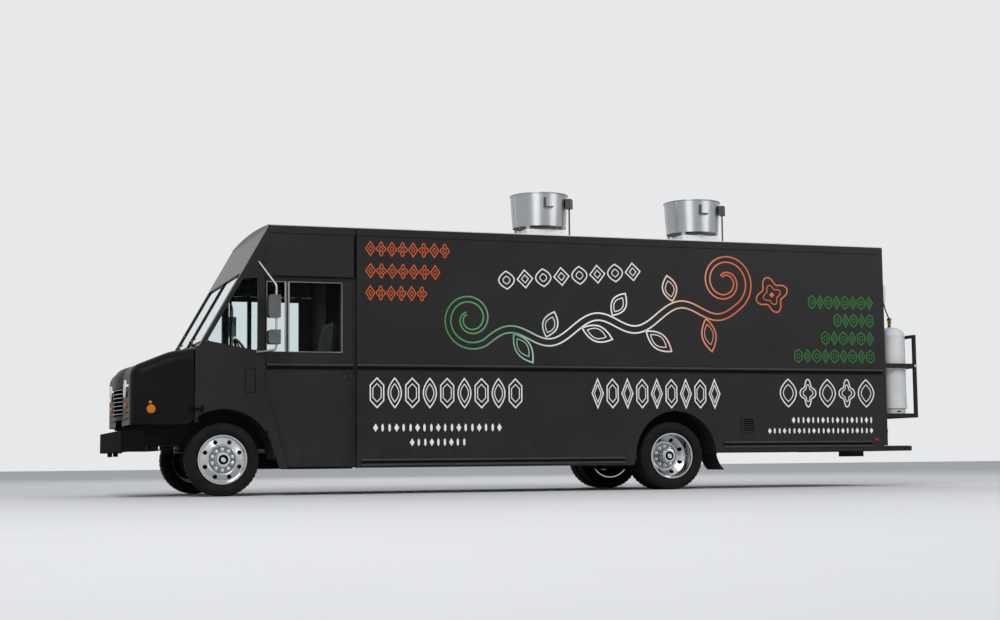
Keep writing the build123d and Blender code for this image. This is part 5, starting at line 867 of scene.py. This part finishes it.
cushion, back, base = Bits(), Bits(), Bits()
middle_x = (at(SEAT_X[0]) + at(SEAT_X[1])) / 2
pad_mesh(cushion, lambda u, v, w: (middle_x + u, SEAT_Y + v, SEAT_Z + w), (SEAT_X[1] - SEAT_X[0]) / 2, SEAT_HALF,
         0.115, 0.018, 0.55)
lean = Vector(BACK_LEAN).normalized()
front = Vector((-lean.z, 0, lean.x))
root = Vector((at(BACK_PLACE[0]), SEAT_Y, BACK_PLACE[1]))
pad_mesh(back, lambda u, v, w: tuple(root + lean * u + Vector((0, v, 0)) + front * (w - 0.035)), BACK_HALF,
         SEAT_HALF - BACK_NARROW, 0.095, 0.014, 0.5)
pieces = [cushion.piece("seat_cushion", "seat_fabric"), back.piece("seat_back_pad", "seat_fabric")]
for x, half, z in BASE_BOXES:
    base.box(x, (SEAT_Y - half, SEAT_Y + half), z)
plate = [root + lean * u + front * w for u, w in PLATE]
base.add([(p.x, SEAT_Y + s, p.z) for s in (-PLATE_HALF, PLATE_HALF) for p in plate], BOX_FACES)
for s in (-STAY_Y, STAY_Y):
    base.tube([(at(x), SEAT_Y + s, z) for x, z in BACK_STAY], 0.014, 10)
seat_base = base.piece("seat_base", "chassis_black", bevel=0.004)
for piece in pieces:
    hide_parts("driver_seat")
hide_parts("driver_seat")


# Side vinyl: plain ornament in the photograph's colours, on the driver's wall
WIDE_LINE, NARROW_LINE = 0.014, 0.011
ORANGE, PALE_ORANGE = (0.6, 0.105, 0.022), (0.72, 0.36, 0.24)
GREEN, PALE_GREEN = (0.02, 0.19, 0.03), (0.16, 0.36, 0.2)
WHITE = (0.8, 0.8, 0.79)


def vinyl(name, colour):
    """Cut vinyl of one colour, a little uneven."""
    MATERIALS[name] = surface(name, tuple(c * 0.94 for c in colour), colour, (0.32, 0.46), 8, 0, 0.05, 0.2)
    return name


def pointed_oval(steps=10):
    """Two arcs that meet in a point at the top and the bottom."""
    right = [(0.5 * sin(pi * k / steps) ** 0.9, 0.5 - k / steps) for k in range(steps)]
    return right + [(-x, -z) for x, z in right]


def flower(count=48):
    """A closed loop with four petals."""
    reach = [(0.4 + 0.1 * cos(4 * turn), turn) for turn in turns(count)]
    return [(radius * cos(turn), radius * sin(turn)) for radius, turn in reach]


LOZENGE = [(0, 0.5), (0.5, 0), (0, -0.5), (-0.5, 0)]
HEXAGON = [(0, 0.5), (0.5, 0.26), (0.5, -0.26), (0, -0.5), (-0.5, -0.26), (-0.5, 0.26)]
OVAL, FLOWER = pointed_oval(), flower()


def outlined(bits, shape, centre, size, line, tilt, inner):
    """A shape drawn in line, with a smaller one inside it."""
    turn = Matrix.Rotation(tilt, 2)
    for share, width in ((1, line), (inner, line * 0.7)):
        loop = []
        for x, z in shape:
            spot = turn @ Vector((x * (size[0] - line) * share, z * (size[1] - line) * share))
            loop.append((at(centre[0] + spot.x), centre[1] + spot.y))
        bits.strip(loop, width, closed=True)


def filled(bits, shape, centre, size):
    """A solid small shape."""
    loop = [(at(centre[0] + x * size[0]), centre[1] + z * size[1]) for x, z in shape]
    bits.skin([(x, depth, z) for depth in VINYL_Y for x, z in loop], len(loop))


def row(bits, shapes, left, right, low, high, line=WIDE_LINE, rise=0, inner=0.62, gap=0.18):
    """Shapes side by side between two X places, each climbing by rise along the row."""
    count = len(shapes)
    step = (right - left) / count
    for index, shape in enumerate(shapes):
        x = left + (index + 0.5) * step
        z = (low + high) / 2 + rise * (index + 0.5) / count
        outlined(bits, shape, (x, z), (step * (1 - gap), high - low), line, atan2(rise, right - left), inner)


# Left end, right end, low, high, how many
ORANGE_ROWS = ((1.562, 2.554, 2.648, 2.816, 8), (1.562, 2.44, 2.4, 2.568, 7), (1.562, 2.279, 2.152, 2.32, 6))
GREEN_ROWS = ((7.13, 8.048, 2.172, 2.34, 8), (7.48, 8.048, 1.952, 2.12, 5), (7.3, 8.048, 1.732, 1.9, 6),
              (6.92, 8.048, 1.51, 1.678, 9))
for name, colour, rows, shapes, gap in (("vinyl_orange", ORANGE, ORANGE_ROWS, (LOZENGE, FLOWER), 0.06),
                                        ("vinyl_green", GREEN, GREEN_ROWS, (HEXAGON, LOZENGE), 0.1)):
    bits = Bits()
    for left, right, low, high, count in rows:
        row(bits, (shapes * count)[:count], left, right, low, high, NARROW_LINE, inner=0.4, gap=gap)
    bits.piece(name, "white_paint", finish=vinyl(name, colour))

# Left end, right end, middle height, height of the marks, how many
SMALL_ROWS = (
    (1.637, 3.168, 0.733, 0.092, 19),
    (2.06, 2.745, 0.57, 0.088, 9),
    (6.86, 8.003, 0.812, 0.08, 17),
    (6.534, 8.003, 0.683, 0.072, 22),
)
SMALL_MARKS = ((LOZENGE, 0.72), (HEXAGON, 0.34), (HEXAGON, 0.34))
white = Bits()
row(white, (OVAL, LOZENGE) * 4, 3.118, 4.92, 2.3, 2.52, rise=0.16, inner=0.45, gap=0.1)
row(white, (HEXAGON, OVAL) * 4 + (HEXAGON,), 1.593, 3.427, 0.95, 1.292)
row(white, (LOZENGE, HEXAGON) * 4 + (LOZENGE,), 4.245, 5.936, 0.952, 1.298)
row(white, (OVAL, FLOWER, OVAL, FLOWER, OVAL), 6.696, 8.043, 0.966, 1.315, gap=0.14)
for left, right, middle, height, count in SMALL_ROWS:
    step = (right - left) / count
    for index in range(count):
        shape, wide = SMALL_MARKS[index % 3]
        filled(white, shape, (left + (index + 0.5) * step, middle), (step * wide, height))
white.piece("vinyl_white", "white_paint", finish=vinyl("vinyl_white", WHITE))

# A ribbon with leaves, from green through white to orange: a curl at each end, a wave between
VINE_LINE, VINE_X = 0.017, (2.445, 6.88)
VINE_STOPS = ((0, GREEN), (0.2, PALE_GREEN), (0.34, WHITE), (0.56, WHITE), (0.7, PALE_ORANGE), (0.8, ORANGE))
LEFT_CURL, LEFT_R, LEFT_END = Vector((2.79, 1.965)), 0.32, radians(-56)
WAVE_LONG, WAVE_RISE, WAVE_HIGH, WAVES, WAVE_STEPS = 3.24, 0.5, 0.11, 3, 120
RIGHT_R, RIGHT_START = 0.34, radians(-54)
INNER_R, CURL_TURNS, CURL_STEPS = 0.075, 1.5, 90
RIBBON_HALF, RIBBON_SWELL = 0.012, 0.03
LEAVES, LEAF_FOOT, LEAF_WIDE = 7, 0.062, 0.185
LEAF_TURN, LEAF_LONG = {-1: radians(56), 1: radians(80)}, {-1: 0.4, 1: 0.31}
LEAF_LINES = ((1, 1), (0.62, 0.65))
BLOSSOM, BLOSSOM_SIZE, BLOSSOM_TILT, BLOSSOM_EYE = (6.64, 2.33), 0.46, 0.35, 0.07


def on_circle(centre, radius, angle):
    """A place on a circle."""
    return centre + Vector((radius * cos(angle), radius * sin(angle)))


def spiral(centre, first, last, start):
    """Places on a curl from one radius to another."""
    return [on_circle(centre, first + (last - first) * share, start + CURL_TURNS * 2 * pi * share)
            for share in spaced(0, 1, CURL_STEPS)]


WAVE_START = on_circle(LEFT_CURL, LEFT_R, LEFT_END)
WAVE_END = WAVE_START + Vector((WAVE_LONG, WAVE_RISE))
RIGHT_CURL = on_circle(WAVE_END, -RIGHT_R, RIGHT_START)


def wave(share):
    """A place on the wave between the curls."""
    swing = WAVE_HIGH * sin(2 * pi * WAVES * share)
    return WAVE_START.lerp(WAVE_END, share) + Vector((0, swing))


def drawn(bits, points, line=VINE_LINE, closed=False):
    """A line of vinyl through places given behind the front axle."""
    bits.strip([(at(x), z) for x, z in points], line, closed)


vine = Bits()
middle = spiral(LEFT_CURL, INNER_R, LEFT_R, LEFT_END - CURL_TURNS * 2 * pi)[:-1]
middle += [wave(share) for share in spaced(0, 1, WAVE_STEPS)]
middle += spiral(RIGHT_CURL, RIGHT_R, INNER_R, RIGHT_START)[1:]
lengths = [0]
for before, after in zip(middle, middle[1:]):
    lengths.append(lengths[-1] + (after - before).length)
for side in SIDES:
    edge = []
    for index, point in enumerate(middle):
        ahead = middle[min(index + 1, len(middle) - 1)] - middle[max(index - 1, 0)]
        across = Vector((-ahead.y, ahead.x)).normalized()
        swell = sin(pi * lengths[index] / lengths[-1]) ** 0.5
        edge.append(point + across * side * (RIBBON_HALF + RIBBON_SWELL * swell))
    drawn(vine, edge)
for index in range(LEAVES):
    share = (index + 0.75) / (LEAVES + 0.9)
    along = wave(share + 0.005) - wave(share - 0.005)
    side = 1 if index % 2 else -1
    angle = atan2(along.y, along.x) + side * LEAF_TURN[side]
    axis, across = Vector((cos(angle), sin(angle))), Vector((-sin(angle), cos(angle)))
    foot, long = wave(share) + axis * LEAF_FOOT, LEAF_LONG[side]
    for size, line in LEAF_LINES:
        start = foot + axis * long * (1 - size) * 0.45
        leaf = [start + axis * long * size * (0.5 - z) + across * LEAF_WIDE * size * x for x, z in OVAL]
        drawn(vine, leaf, VINE_LINE * line, closed=True)
outlined(vine, FLOWER, BLOSSOM, (BLOSSOM_SIZE, BLOSSOM_SIZE), VINE_LINE, BLOSSOM_TILT, 0.55)
filled(vine, LOZENGE, BLOSSOM, (BLOSSOM_EYE, BLOSSOM_EYE))
MATERIALS["vinyl_vine"] = graphic("vinyl_vine", VINE_STOPS, at(VINE_X[0]), at(VINE_X[1]))
vine.piece("vinyl_vine", "white_paint", finish="vinyl_vine")


# Stage
FLOOR_HALF = 120
FLOOR_TONE = (0.66, 0.665, 0.67)
BACK_TONE, FILL_TONE, FILL_STRENGTH = (0.8, 0.81, 0.82), (0.92, 0.95, 1), 0.5
LAMP_SIZE = 9
LAMPS = (
    # name, place, target, power
    ("key", (-9, -15, 14), (0, 0, 1.5), 1850),
    ("fill", (12, -13, 9), (1, 0, 1.5), 800),
    ("back", (4, 16, 13), (0, 0, 2), 780),
)

# A plain pale floor
mesh = bpy.data.meshes.new("floor")
corners = [(x * FLOOR_HALF, y * FLOOR_HALF, 0) for x, y in ((-1, -1), (1, -1), (1, 1), (-1, 1))]
mesh.from_pydata(corners, [], [(0, 1, 2, 3)])
floor = linked("floor", mesh)
nodes = Finish("pale_floor")
tone = nodes.two_tone(nodes.uneven(1.2), FLOOR_TONE, tuple(c * 0.985 for c in FLOOR_TONE))
mesh.materials.append(nodes.shade({"Base Color": tone, "Roughness": 0.8, "Specular IOR Level": 0.2}))

# Soft square lights, each facing its target
for name, place, target, power in LAMPS:
    data = bpy.data.lights.new(name, "AREA")
    data.shape = "SQUARE"
    data.size = LAMP_SIZE
    data.energy = power
    lamp = linked(name, data)
    lamp.location = place
    lamp.rotation_euler = (Vector(target) - Vector(place)).to_track_quat("-Z", "Y").to_euler()

# A pale surround that metal and glass show too, with a softer light of its own
world = bpy.data.worlds.new("surround")
bpy.context.scene.world = world
nodes = Nodes(world)
nodes.tree.nodes.clear()
rays = nodes.node("LightPath", {}).outputs
seen = nodes.worked("MAXIMUM", rays["Is Camera Ray"], rays["Is Glossy Ray"])
seen = nodes.worked("MAXIMUM", seen, rays["Is Transmission Ray"])
soft, plain = [nodes.node("Background", {"Color": (*tone, 1), "Strength": strength}).outputs["Background"]
               for tone, strength in ((FILL_TONE, FILL_STRENGTH), (BACK_TONE, 1))]
mix = nodes.node("MixShader", {"Fac": seen, 1: soft, 2: plain})
nodes.node("OutputWorld", {"Surface": mix.outputs["Shader"]})


bpy.context.scene.view_settings.view_transform = "Standard"
